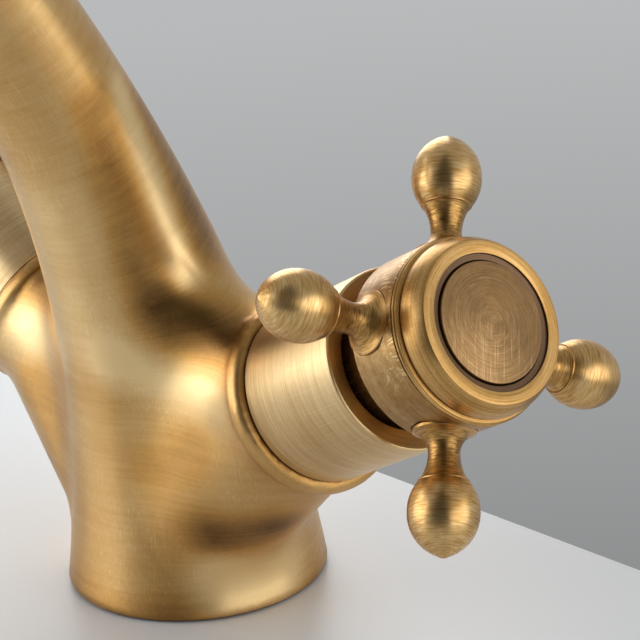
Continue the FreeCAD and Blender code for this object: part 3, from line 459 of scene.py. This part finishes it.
def brass_finish(
    name, dark_end, middle, bright, roughness, lines_per_metre, breaks, line_depth,
    line_tone=0.3, band_tone=0.2, cloud_tone=0.4, mottle_tone=0.2, face_share=1.0, tone=0.5, scratch_tone=0.1,
    scratch_length=1 / 14, scratch_width=1 / 4500, sway=0.0, valley_shade_tone=0.0, edge_tone=0.4, hollow_tone=0.9,
    hatch_tone=0.0, around=None, tone_marks=(), mirrored=False,
):
    """Lacquered antique brass with finishing lines round the axis of the piece.

    The tones say how far each effect moves the colour from the dark end to bright. Each of the tone marks has
    its tone, then its radius, start and end in millimetres, and lightens or darkens the colour round its
    line."""
    material = bpy.data.materials.new(name)
    material.use_nodes = True
    tree = material.node_tree
    shader = tree.nodes["Principled BSDF"]
    place = add_node(tree, "ShaderNodeTexCoord").outputs["Object"]
    if around:
        into = around.inverted()
        grain = feed(tree, add_node(tree, "ShaderNodeMapping"), Vector=place, Location=into.to_translation(),
                     Rotation=into.to_euler()).outputs[0]
    else:
        grain = add_node(tree, "ShaderNodeAttribute", attribute_name="grain").outputs["Vector"]
        sweep = add_node(tree, "ShaderNodeAttribute", attribute_name="sweep").outputs["Vector"]
        turn = add_node(tree, "ShaderNodeVectorTransform", vector_type="VECTOR", convert_from="OBJECT",
                        convert_to="WORLD")
        feed(tree, turn, Vector=sweep)
        tree.links.new(turn.outputs[0], shader.inputs["Tangent"])
        shader.inputs["Anisotropic"].default_value = 0.5
        shader.inputs["Anisotropic Rotation"].default_value = 0.25
    lines = feed(tree, add_node(tree, "ShaderNodeGroup", node_tree=finishing_lines), Grain=grain,
                 Lines_per_metre=lines_per_metre, Breaks_per_turn=breaks, Face_share=face_share)
    clouds = feed(tree, add_node(tree, "ShaderNodeGroup", node_tree=patina), Place=place,
                  Clouds_per_metre=60.0, Mottle_per_metre=1100.0)
    use = feed(tree, add_node(tree, "ShaderNodeGroup", node_tree=wear_and_shade), Hollow_reach=0.9 * MM,
               Valley_reach=14 * MM, Edge_reach=0.3 * MM)
    scored = feed(tree, add_node(tree, "ShaderNodeGroup", node_tree=scratches), Place=grain,
                  Across_per_metre=1 / scratch_width, Along_per_metre=1 / scratch_length,
                  Sway=(sway, sway, sway))
    level = tone - 0.5 * (line_tone + band_tone + cloud_tone + mottle_tone)
    # Shade darkens the broad concave blends round the arms: painted shade.
    for value, share in (
        (lines.outputs["Lines"], line_tone), (lines.outputs["Bands"], band_tone),
        (clouds.outputs["Clouds"], cloud_tone), (clouds.outputs["Mottle"], mottle_tone),
        (scored.outputs["Scratches"], scratch_tone), (use.outputs["Edge"], edge_tone),
        (use.outputs["Hollow"], -hollow_tone), (use.outputs["Valley"], -valley_shade_tone),
    ):
        level = math_of(tree, "MULTIPLY_ADD", value, share, level)
    if hatch_tone:
        parts = feed(tree, add_node(tree, "ShaderNodeSeparateXYZ"), i0=grain).outputs
        across = feed(tree, add_node(tree, "ShaderNodeCombineXYZ"), X=parts["Y"], Y=parts["Z"], Z=parts["X"])
        brushed = feed(tree, add_node(tree, "ShaderNodeGroup", node_tree=scratches), Place=across.outputs[0],
                       Across_per_metre=1 / scratch_width, Along_per_metre=120.0)
        level = math_of(tree, "MULTIPLY_ADD", brushed.outputs[0], hatch_tone, level)
    mark_place = grain
    if mirrored:
        parts = feed(tree, add_node(tree, "ShaderNodeSeparateXYZ"), i0=place).outputs
        mark_place = feed(tree, add_node(tree, "ShaderNodeCombineXYZ"), X=math_of(tree, "ABSOLUTE", parts["X"]),
                      Y=parts["Y"], Z=parts["Z"]).outputs[0]
    # Each mark lightens or darkens the colour round its line; on the cast body they are painted highlights
    # and painted shade.
    for share, radius, start, end in tone_marks:
        start, end = Vector(start) * MM, Vector(end) * MM
        mark = feed(tree, add_node(tree, "ShaderNodeGroup", node_tree=soft_mark), Place=mark_place, Start=start,
                    Span=end - start, Radius=radius * MM)
        level = math_of(tree, "MULTIPLY_ADD", mark.outputs[0], share, level)
    ramp = add_node(tree, "ShaderNodeValToRGB")
    ramp.color_ramp.elements[0].color = dark_end
    ramp.color_ramp.elements[1].position = BRIGHT_TONE
    ramp.color_ramp.elements[1].color = bright
    ramp.color_ramp.elements.new(MIDDLE_TONE).color = middle
    feed(tree, ramp, Fac=level)
    tree.links.new(ramp.outputs["Color"], shader.inputs["Base Color"])
    rough = feed(tree, add_node(tree, "ShaderNodeMapRange"), Value=level, From_Min=0.1, From_Max=0.9,
                 To_Min=roughness + 0.08, To_Max=roughness - 0.05)
    tree.links.new(rough.outputs[0], shader.inputs["Roughness"])
    height = math_of(tree, "SUBTRACT", lines.outputs["Lines"], scored.outputs["Scratches"])
    bump = feed(tree, add_node(tree, "ShaderNodeBump"), Strength=line_depth, Distance=0.02 * MM,
                Height=height)
    tree.links.new(bump.outputs[0], shader.inputs["Normal"])
    shader.inputs["Metallic"].default_value = 1.0
    shader.inputs["Coat Weight"].default_value = 0.3
    shader.inputs["Coat IOR"].default_value = 1.5
    shader.inputs["Coat Roughness"].default_value = 0.35
    return material


def dress(piece, material):
    piece.data.materials.clear()
    piece.data.materials.append(material)


# Dark end of the brass ramp: the antique stain, and on the cast body also painted shade.
STAIN_AND_SHADE_BRASS = (0.11, 0.045, 0.008, 1)
MIDDLE_BRASS = (0.58, 0.315, 0.085, 1)
BRIGHT_BRASS = (0.92, 0.66, 0.32, 1)
# Painted shade: darker marks in the valley between the neck and each arm's top, in the creases under the arms
# and on the arms' fronts.
PAINTED_ARM_SHADE = (
    (-0.42, 11, (17, -14, 54.5), (25, -9.5, 54)),
    (-0.60, 9, (22.5, -12, 18.5), (29, -6, 20.5)),
    (-0.18, 9, (14, -19, 30), (24, -16, 35)),
    (-0.40, 8, (21, 11, 21), (28, 5, 22)),
)
# The first darkens the front of the column above the foot; the other two are painted shade in streaks down
# the neck beside its highlight band.
COLUMN_AND_NECK_DARKENING = (
    (-0.12, 9, (15, -17, 4), (14, -17.5, 16)),
    (-0.36, 7, (14.5, -17, 60), (12.5, -22, 94)),
    (-0.34, 9, (13, -2, 66), (10.5, -9, 92)),
)
# Painted highlights: lighter marks on the arm tops, in a band down the neck and on the front of the neck, and
# painted light on the foot below each arm.
PAINTED_HIGHLIGHTS = (
    (0.42, 8, (8, -20, 48), (30, -12, 43)),
    (0.40, 5, (15.5, -9.5, 62), (11.6, -16, 96)),
    (0.22, 14, (2, -24, 52), (4, -27, 74)),
    (0.60, 11, (23, 0, 5), (21, -10, 6)),
)
# The cast body's colour holds painted shade from the Shade mask and the darker marks, and painted highlights
# from the lighter ones.
cast_brass = brass_finish(
    "cast_brass", STAIN_AND_SHADE_BRASS, MIDDLE_BRASS, BRIGHT_BRASS,
    roughness=0.36, lines_per_metre=5000.0, breaks=2.2, line_depth=0.03,
    line_tone=0.08, band_tone=0.08, cloud_tone=0.35, mottle_tone=0.1, face_share=0.0, tone=0.58,
    scratch_tone=0.12, valley_shade_tone=0.3, tone_marks=PAINTED_ARM_SHADE + COLUMN_AND_NECK_DARKENING + PAINTED_HIGHLIGHTS,
    mirrored=True,
)
dress(cast_body, cast_brass)
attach(cast_body, "tap_body")
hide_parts("body_casting")

# Valve sleeves: brass tubes turned on a lathe, screwed over the headwork against the collar of each arm.
# The lathe leaves even rings on the outside, and the mouth slopes inwards to a dark bore.
sleeve_shape = turned_shape("sleeve_shape", [
    (13.6, 42.75), (14.95, 42.75), (14.95, 43.0), (15.3, 43.25), (15.3, 66.7),
    *bowed((15.3, 66.7), (14.9, 67.15), 0.12, 4), (14.9, 67.15), (11.6, 65.9), (11.6, 64.3), (13.6, 64.3),
])
sleeve_brass = brass_finish(
    "sleeve_brass", STAIN_AND_SHADE_BRASS, (0.58, 0.34, 0.11, 1), (0.90, 0.68, 0.37, 1),
    roughness=0.38, lines_per_metre=4500.0, breaks=1.4, line_depth=0.1,
    line_tone=0.26, band_tone=0.16, cloud_tone=0.3, mottle_tone=0.12, tone=0.74,
)
for side, sign in SIDES.items():
    sleeve = put(copy_of(sleeve_shape, f"{side}_sleeve"), valve_place(sign))
    dress(sleeve, sleeve_brass)
    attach(sleeve, "tap_body")
    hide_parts(f"{side}_valve_sleeve")
bpy.data.objects.remove(sleeve_shape)

# Handle hubs: brass drums on a stem that goes down into the sleeve, with a spot-faced seat for each arm.
# They are stained darker than the rest and scuffed.
CROSS_TURN = radians(27.8)
ARM_PLANE = 77.8 * MM
CROSS_ARMS = 4


def handle_place(sign):
    return valve_place(sign) @ Matrix.Rotation(-sign * CROSS_TURN, 4, "Z")


def arm_in_handle(number):
    about = Matrix.Rotation(2 * pi * number / CROSS_ARMS, 4, "Z")
    return Matrix.Translation((0, 0, ARM_PLANE)) @ about @ Matrix.Rotation(pi / 2, 4, "Y")


hub_shape = turned_shape("hub_shape", [
    (4.6, 62.2), (10.6, 62.2), (10.6, 73.5), (14.6, 73.5), *bowed((14.6, 73.5), (15.1, 74.0), 0.146, 4),
    (15.1, 74.0), (15.1, 84.1), (10.4, 84.1), (10.4, 83.15), (4.6, 83.15),
])
seat_cutter = turned_shape("seat_cutter", [
    (0, 9.2), (2.3, 9.2), (2.3, 14.3), (5.24, 14.3), (5.24, 18), (0, 18),
], closed=False, edge=0)
for number in range(CROSS_ARMS):
    cutter = put(copy_of(seat_cutter, "cutter"), arm_in_handle(number))
    work_on(hub_shape, "BOOLEAN", operation="DIFFERENCE", object=cutter, solver="EXACT")
    bpy.data.objects.remove(cutter)
bpy.data.objects.remove(seat_cutter)
finish_shape(hub_shape)
save_grain(hub_shape, turned_grain)
hub_brass = brass_finish(
    "hub_brass", (0.11, 0.046, 0.011, 1), (0.42, 0.23, 0.072, 1), (0.86, 0.62, 0.30, 1),
    roughness=0.37, lines_per_metre=3000.0, breaks=3.0, line_depth=0.04,
    line_tone=0.10, band_tone=0.12, cloud_tone=0.5, mottle_tone=0.3, tone=0.48, scratch_tone=0.7,
    scratch_length=1 / 220, scratch_width=1 / 3200, sway=0.008,
)
for side, sign in SIDES.items():
    hub = put(copy_of(hub_shape, f"{side}_hub"), handle_place(sign))
    dress(hub, hub_brass)
    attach(hub, f"{side}_handle")
    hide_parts(f"{side}_handle_hub")
bpy.data.objects.remove(hub_shape)

# Handle arms: four turned brass spokes for each handle, screwed into the hub. Each has a trumpet foot, a
# narrow neck that flares to a thin bright edge, and a slightly pointed ball.
arm_shape = turned_shape("arm_shape", [
    (0, 9.4), (2.2, 9.4), (2.2, 14.4), (5.1, 14.4), (5.1, 14.9),
    *bowed((5.1, 14.9), (2.5, 18.3), -0.75), (2.5, 18.3),
    *bowed((2.5, 18.3), (3.8, 22.55), -0.3), (3.8, 22.55),
    (4.06, 22.6), (4.06, 22.82),
    *bowed((4.06, 22.82), (5.67, 27.9), 0.5), (5.67, 27.9),
    *bowed((5.67, 27.9), (1.1, 34.4), 1.22, 16), (1.1, 34.4), (0.5, 34.72), (0, 34.82),
], closed=False, edge=0.05 * MM)
arm_brass = brass_finish(
    "arm_brass", STAIN_AND_SHADE_BRASS, MIDDLE_BRASS, BRIGHT_BRASS,
    roughness=0.33, lines_per_metre=5600.0, breaks=2.2, line_depth=0.12,
    line_tone=0.52, band_tone=0.14, cloud_tone=0.35, mottle_tone=0.15, tone=0.60,
    # The mark darkens the colour round the foot and neck of each arm.
    tone_marks=((-0.36, 8, (0, 0, 15), (0, 0, 20)),),
)
for side, sign in SIDES.items():
    for number in range(CROSS_ARMS):
        arm = put(copy_of(arm_shape, f"{side}_arm_{number + 1}"), handle_place(sign) @ arm_in_handle(number))
        dress(arm, arm_brass)
        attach(arm, f"{side}_handle")
        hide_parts(f"{side}_handle_arm_{number + 1}")
bpy.data.objects.remove(arm_shape)

# Bezels: turned brass rings on the hubs, with a thin bead, a groove, a rounded shoulder and a flat face
# that steps down to a narrow ring round the cap.
bezel_shape = turned_shape("bezel_shape", [
    (9.77, 84.15), (14.75, 84.15), *bowed((14.75, 84.15), (14.8, 84.85), 0.33, 6), (14.8, 84.85),
    *bowed((14.8, 84.85), (14.7, 85.2), 0.15, 5), (14.7, 85.2), (14.05, 85.35), (14.05, 85.6), (14.4, 85.75),
    *bowed((14.4, 85.75), (13.05, 89.9), 0.42), (13.05, 89.9), (11.0, 89.84), (11.0, 89.4), (9.98, 89.4),
    (9.98, 88.0), (9.77, 88.0),
], edge=0.07 * MM)
bezel_brass = brass_finish(
    "bezel_brass", STAIN_AND_SHADE_BRASS, MIDDLE_BRASS, BRIGHT_BRASS,
    roughness=0.33, lines_per_metre=6200.0, breaks=1.2, line_depth=0.1,
    line_tone=0.35, band_tone=0.14, cloud_tone=0.35, mottle_tone=0.15, tone=0.48, hollow_tone=0.6,
)
recess_brass = brass_finish(
    "recess_brass", (0.055, 0.026, 0.012, 1), (0.15, 0.080, 0.038, 1), (0.25, 0.145, 0.075, 1),
    roughness=0.42, lines_per_metre=5000.0, breaks=1.2, line_depth=0.05,
    line_tone=0.15, band_tone=0.1, cloud_tone=0.2, mottle_tone=0.15, tone=0.6, edge_tone=0.1, hollow_tone=0.4,
)
RECESS_RADIUS, RECESS_TOP = 11.02 * MM, 89.8 * MM
for side, sign in SIDES.items():
    bezel = copy_of(bezel_shape, f"{side}_bezel")
    dress(bezel, bezel_brass)
    bezel.data.materials.append(recess_brass)
    for face in bezel.data.polygons:
        if hypot(face.center.x, face.center.y) < RECESS_RADIUS and face.center.z < RECESS_TOP:
            face.material_index = 1
    put(bezel, handle_place(sign))
    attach(bezel, f"{side}_handle")
    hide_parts(f"{side}_handle_bezel")
bpy.data.objects.remove(bezel_shape)

# Index caps: blank brass discs pressed into the bezels over the handle screws. They are faced on the lathe,
# which leaves fine rings, and brushed once across.
cap_shape = turned_shape("cap_shape", [
    (0, 87.65), (8.12, 87.65), (8.12, 83.2), (9.72, 83.2), (9.72, 89.85), (0, 89.85),
], closed=False, edge=0.1 * MM)
cap_brass = brass_finish(
    "cap_brass", (0.12, 0.058, 0.02, 1), (0.37, 0.21, 0.08, 1), (0.74, 0.50, 0.24, 1),
    roughness=0.40, lines_per_metre=9000.0, breaks=2.0, line_depth=0.06,
    line_tone=0.34, band_tone=0.05, cloud_tone=0.25, mottle_tone=0.2, tone=0.39, hatch_tone=0.28,
    scratch_width=1 / 5000,
)
for side, sign in SIDES.items():
    cap = put(copy_of(cap_shape, f"{side}_cap"), handle_place(sign))
    dress(cap, cap_brass)
    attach(cap, f"{side}_handle")
    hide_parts(f"{side}_handle_cap")
bpy.data.objects.remove(cap_shape)

# Aerator at the spout end: a turned brass housing with the body's finish, which holds a white plastic
# insert against a rubber washer. The outlet leans a little forwards.
OUTLET_LEAN = radians(165)
OUTLET = Vector((0, -118.6, 115.5)) * MM


def moulded_finish(name, dark, light, roughness, mottle_per_metre, relief, metallic=0.0):
    """Plain moulded, fired or plated surface, with a faint mottle in its colour, gloss and relief."""
    material = bpy.data.materials.new(name)
    material.use_nodes = True
    tree = material.node_tree
    shader = tree.nodes["Principled BSDF"]
    place = add_node(tree, "ShaderNodeTexCoord").outputs["Object"]
    clouds = feed(tree, add_node(tree, "ShaderNodeGroup", node_tree=patina), Place=place,
                  Clouds_per_metre=90.0, Mottle_per_metre=mottle_per_metre)
    level = math_of(tree, "MULTIPLY_ADD", clouds.outputs["Clouds"], 0.8,
                    math_of(tree, "MULTIPLY_ADD", clouds.outputs["Mottle"], 0.9, -0.35))
    ramp = feed(tree, add_node(tree, "ShaderNodeValToRGB"), Fac=level)
    ramp.color_ramp.elements[0].color = dark
    ramp.color_ramp.elements[1].color = light
    tree.links.new(ramp.outputs["Color"], shader.inputs["Base Color"])
    rough = feed(tree, add_node(tree, "ShaderNodeMapRange"), Value=level, To_Min=roughness + 0.07,
                 To_Max=roughness - 0.07)
    tree.links.new(rough.outputs[0], shader.inputs["Roughness"])
    bump = feed(tree, add_node(tree, "ShaderNodeBump"), Strength=relief, Distance=0.03 * MM,
                Height=clouds.outputs["Mottle"])
    tree.links.new(bump.outputs[0], shader.inputs["Normal"])
    shader.inputs["Metallic"].default_value = metallic
    return material


def dress_node(name, material):
    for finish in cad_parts[name].material_slots:
        finish.material = material


aerator_brass = brass_finish(
    "aerator_brass", STAIN_AND_SHADE_BRASS, MIDDLE_BRASS, BRIGHT_BRASS,
    roughness=0.34, lines_per_metre=4500.0, breaks=1.4, line_depth=0.1,
    line_tone=0.25, band_tone=0.15, tone=0.55,
    around=Matrix.Translation(OUTLET) @ Matrix.Rotation(OUTLET_LEAN, 4, "X"),
)
black_rubber = moulded_finish(
    "black_rubber", (0.012, 0.012, 0.013, 1), (0.035, 0.034, 0.033, 1),
    roughness=0.62, mottle_per_metre=2600.0, relief=0.25,
)
white_plastic = moulded_finish(
    "white_plastic", (0.72, 0.72, 0.69, 1), (0.84, 0.84, 0.82, 1),
    roughness=0.38, mottle_per_metre=1800.0, relief=0.1,
)
dress_node("aerator_housing", aerator_brass)
dress_node("aerator_insert", white_plastic)
dress_node("aerator_washer", black_rubber)

# Headworks: quarter-turn valves screwed into the arms, of bare machined brass, with two fired ceramic
# discs, rubber seals, a plated circlip that holds the spindle, and a plated screw for the handle.
white_ceramic = moulded_finish(
    "white_ceramic", (0.80, 0.79, 0.75, 1), (0.90, 0.89, 0.86, 1),
    roughness=0.16, mottle_per_metre=3500.0, relief=0.05,
)
zinc_steel = moulded_finish(
    "zinc_steel", (0.40, 0.42, 0.44, 1), (0.66, 0.67, 0.67, 1),
    roughness=0.36, mottle_per_metre=1400.0, relief=0.12, metallic=1.0,
)
BARE_BRASS = ((0.34, 0.22, 0.08, 1), (0.68, 0.46, 0.17, 1), (0.88, 0.68, 0.34, 1))
for side, sign in SIDES.items():
    machined_brass = brass_finish(
        f"{side}_machined_brass", *BARE_BRASS,
        roughness=0.26, lines_per_metre=3600.0, breaks=0.8, line_depth=0.12,
        line_tone=0.3, band_tone=0.15, cloud_tone=0.2, mottle_tone=0.1, tone=0.55, around=valve_place(sign),
    )
    for piece in ("headwork_housing", "spindle"):
        dress_node(f"{side}_{piece}", machined_brass)
    for piece in ("seat_seal", "headwork_seal", "spindle_seal"):
        dress_node(f"{side}_{piece}", black_rubber)
    for piece in ("fixed_disc", "moving_disc"):
        dress_node(f"{side}_{piece}", white_ceramic)
    for piece in ("circlip", "handle_screw"):
        dress_node(f"{side}_{piece}", zinc_steel)

# Fixing below the deck: a rubber gasket in the foot, a zinc-plated stud with a rolled thread screwed up
# into the casting, a rubber horseshoe washer and its plate, and a brass nut that draws them up.
STUD_PLACE = Vector((0, 13, 0)) * MM
STUD_BOTTOM, STUD_TOP = -56 * MM, 14 * MM
THREAD_PITCH = 1.25 * MM
THREAD_TURNS, THREAD_STEPS = 58, 28
CREST, ROOT = 3.98 * MM, 3.3 * MM
THREAD_START = STUD_BOTTOM - THREAD_PITCH
stud = drawn_line("threaded_stud", [
    Vector((radius, 0, THREAD_START + share * THREAD_PITCH))
    for radius, share in ((CREST, 0), (CREST, 0.14), (ROOT, 0.5), (ROOT, 0.66), (CREST, 1))
])
work_on(stud, "SCREW", axis="Z", angle=2 * pi, screw_offset=THREAD_PITCH, iterations=THREAD_TURNS,
        steps=THREAD_STEPS, render_steps=THREAD_STEPS, use_merge_vertices=True,
        merge_threshold=MERGE_DISTANCE)
for height, keep_above in ((STUD_BOTTOM, True), (STUD_TOP, False)):
    merge_shape(stud, outwards=False)
    bpy.ops.object.mode_set(mode="EDIT")
    bpy.ops.mesh.select_all(action="SELECT")
    bpy.ops.mesh.bisect(plane_co=(0, 0, height), plane_no=(0, 0, 1), use_fill=True, clear_inner=keep_above,
                        clear_outer=not keep_above)
    bpy.ops.object.mode_set(mode="OBJECT")
merge_shape(stud)
finish_shape(stud)
stud.location = STUD_PLACE
pick(stud)
bpy.ops.object.transform_apply(location=True, rotation=True, scale=True)
dress(stud, zinc_steel)
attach(stud, "tap_body")
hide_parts("fixing_stud")
nut_brass = brass_finish(
    "nut_brass", *BARE_BRASS,
    roughness=0.3, lines_per_metre=3000.0, breaks=0.8, line_depth=0.12,
    line_tone=0.3, band_tone=0.15, cloud_tone=0.2, mottle_tone=0.15, tone=0.5,
    around=Matrix.Translation(STUD_PLACE),
)
dress_node("base_gasket", black_rubber)
dress_node("clamp_washer", black_rubber)
dress_node("clamp_plate", zinc_steel)
dress_node("clamp_nut", nut_brass)

# Basin deck that the tap stands on, of plain white glazed ceramic, and the studio round it: a pale grey
# room with a dark strip in front, and large softboxes behind the tap and on both sides.
DECK_BACK = 51.4 * MM
DECK_HEIGHT = 4.4 * MM
DECK_LEFT, DECK_RIGHT, DECK_DEPTH = -0.45, 4.0, 5.0
DECK_CLEARANCE = 0.1 * MM
start_shape()
bpy.ops.mesh.primitive_cube_add(size=1)
deck = bpy.context.object
deck.name = "deck"
deck.scale = (DECK_RIGHT - DECK_LEFT, DECK_DEPTH, DECK_HEIGHT)
deck.location = ((DECK_LEFT + DECK_RIGHT) / 2, DECK_BACK - DECK_DEPTH / 2, -DECK_CLEARANCE - DECK_HEIGHT / 2)
deck_glaze = bpy.data.materials.new("deck_glaze")
deck_glaze.use_nodes = True
glaze = deck_glaze.node_tree.nodes["Principled BSDF"]
glaze.inputs["Base Color"].default_value = (0.92, 0.945, 0.97, 1)
glaze.inputs["Roughness"].default_value = 0.4
deck.data.materials.append(deck_glaze)

CAMERA_TURN, CAMERA_RISE, CAMERA_ROLL = radians(49.55), radians(19.55), radians(-3.68)
CAMERA_AIM = Vector((38.86, 0, 56.84)) * MM
CAMERA_DISTANCE = 412.76 * MM
FOCAL_PIXELS, PICTURE_PIXELS = 2491.3, 640
SENSOR_WIDTH = 36
STRIP_TURN = CAMERA_TURN - radians(12)
STRIP_START, STRIP_END, STRIP_STRENGTH = 0.6, 0.95, 0.12
ROOM_GREYS = ((0.27, 0.25), (0.39, 0.49), (0.56, 0.5), (0.85, 0.4))
ROOM_TINT = (0.985, 1.0, 1.01)


def towards(turn, rise):
    return Vector((sin(turn) * cos(rise), -cos(turn) * cos(rise), sin(rise)))


world = bpy.data.worlds.new("studio")
world.use_nodes = True
tree = world.node_tree
direction = add_node(tree, "ShaderNodeTexCoord").outputs["Generated"]
flat = feed(tree, add_node(tree, "ShaderNodeVectorMath", operation="MULTIPLY"), i0=direction, i1=(1, 1, 0))
heading = feed(tree, add_node(tree, "ShaderNodeVectorMath", operation="NORMALIZE"), i0=flat.outputs[0])
facing = feed(tree, add_node(tree, "ShaderNodeVectorMath", operation="DOT_PRODUCT"), i0=heading.outputs[0],
              i1=towards(STRIP_TURN, 0))
strength = feed(tree, add_node(tree, "ShaderNodeMapRange", interpolation_type="SMOOTHSTEP"),
                Value=facing.outputs["Value"], From_Min=STRIP_START, From_Max=STRIP_END, To_Min=1.0,
                To_Max=STRIP_STRENGTH)
height = feed(tree, add_node(tree, "ShaderNodeSeparateXYZ"), i0=direction).outputs["Z"]
wall = add_node(tree, "ShaderNodeValToRGB")
for number, (position, grey) in enumerate(ROOM_GREYS):
    if number > 1:
        wall.color_ramp.elements.new(position)
    wall.color_ramp.elements[number].position = position
    wall.color_ramp.elements[number].color = (*(grey * share for share in ROOM_TINT), 1)
feed(tree, wall, Fac=math_of(tree, "MULTIPLY_ADD", height, 0.5, 0.5))
feed(tree, tree.nodes["Background"], Color=wall.outputs[0], Strength=strength.outputs[0])
bpy.context.scene.world = world


def softbox(name, turn, rise, distance, width, height, radiance):
    """Softbox that faces the tap, with its turn from the camera and its rise in degrees."""
    lamp = bpy.data.lights.new(name, "AREA")
    lamp.shape = "RECTANGLE"
    lamp.size = width
    lamp.size_y = height
    lamp.energy = radiance * pi * width * height
    box = bpy.data.objects.new(name, lamp)
    bpy.context.collection.objects.link(box)
    box.location = towards(CAMERA_TURN + radians(turn), radians(rise)) * distance
    box.rotation_euler = (-box.location).to_track_quat("-Z", "Y").to_euler()
    box.visible_camera = False


softbox("back_softbox", turn=-170, rise=24, distance=2.0, width=1.2, height=1.6, radiance=2.3)
softbox("left_softbox", turn=-90, rise=18, distance=4.0, width=3.4, height=3.2, radiance=2.05)
softbox("right_softbox", turn=52, rise=12, distance=3.6, width=4.4, height=2.48, radiance=1.45)

bpy.context.scene.view_settings.view_transform = "Standard"
camera_data = bpy.data.cameras.new("camera")
camera_data.sensor_width = SENSOR_WIDTH
camera_data.lens = SENSOR_WIDTH * FOCAL_PIXELS / PICTURE_PIXELS
camera = bpy.data.objects.new("camera", camera_data)
bpy.context.collection.objects.link(camera)
back = towards(CAMERA_TURN, CAMERA_RISE)
right = Vector((cos(CAMERA_TURN), sin(CAMERA_TURN), 0))
up = back.cross(right)
rolled_right = right * cos(CAMERA_ROLL) + up * sin(CAMERA_ROLL)
rolled_up = up * cos(CAMERA_ROLL) - right * sin(CAMERA_ROLL)
turned = Matrix((rolled_right, rolled_up, back)).transposed().to_4x4()
camera.matrix_world = Matrix.Translation(CAMERA_AIM + back * CAMERA_DISTANCE) @ turned
bpy.context.scene.camera = camera
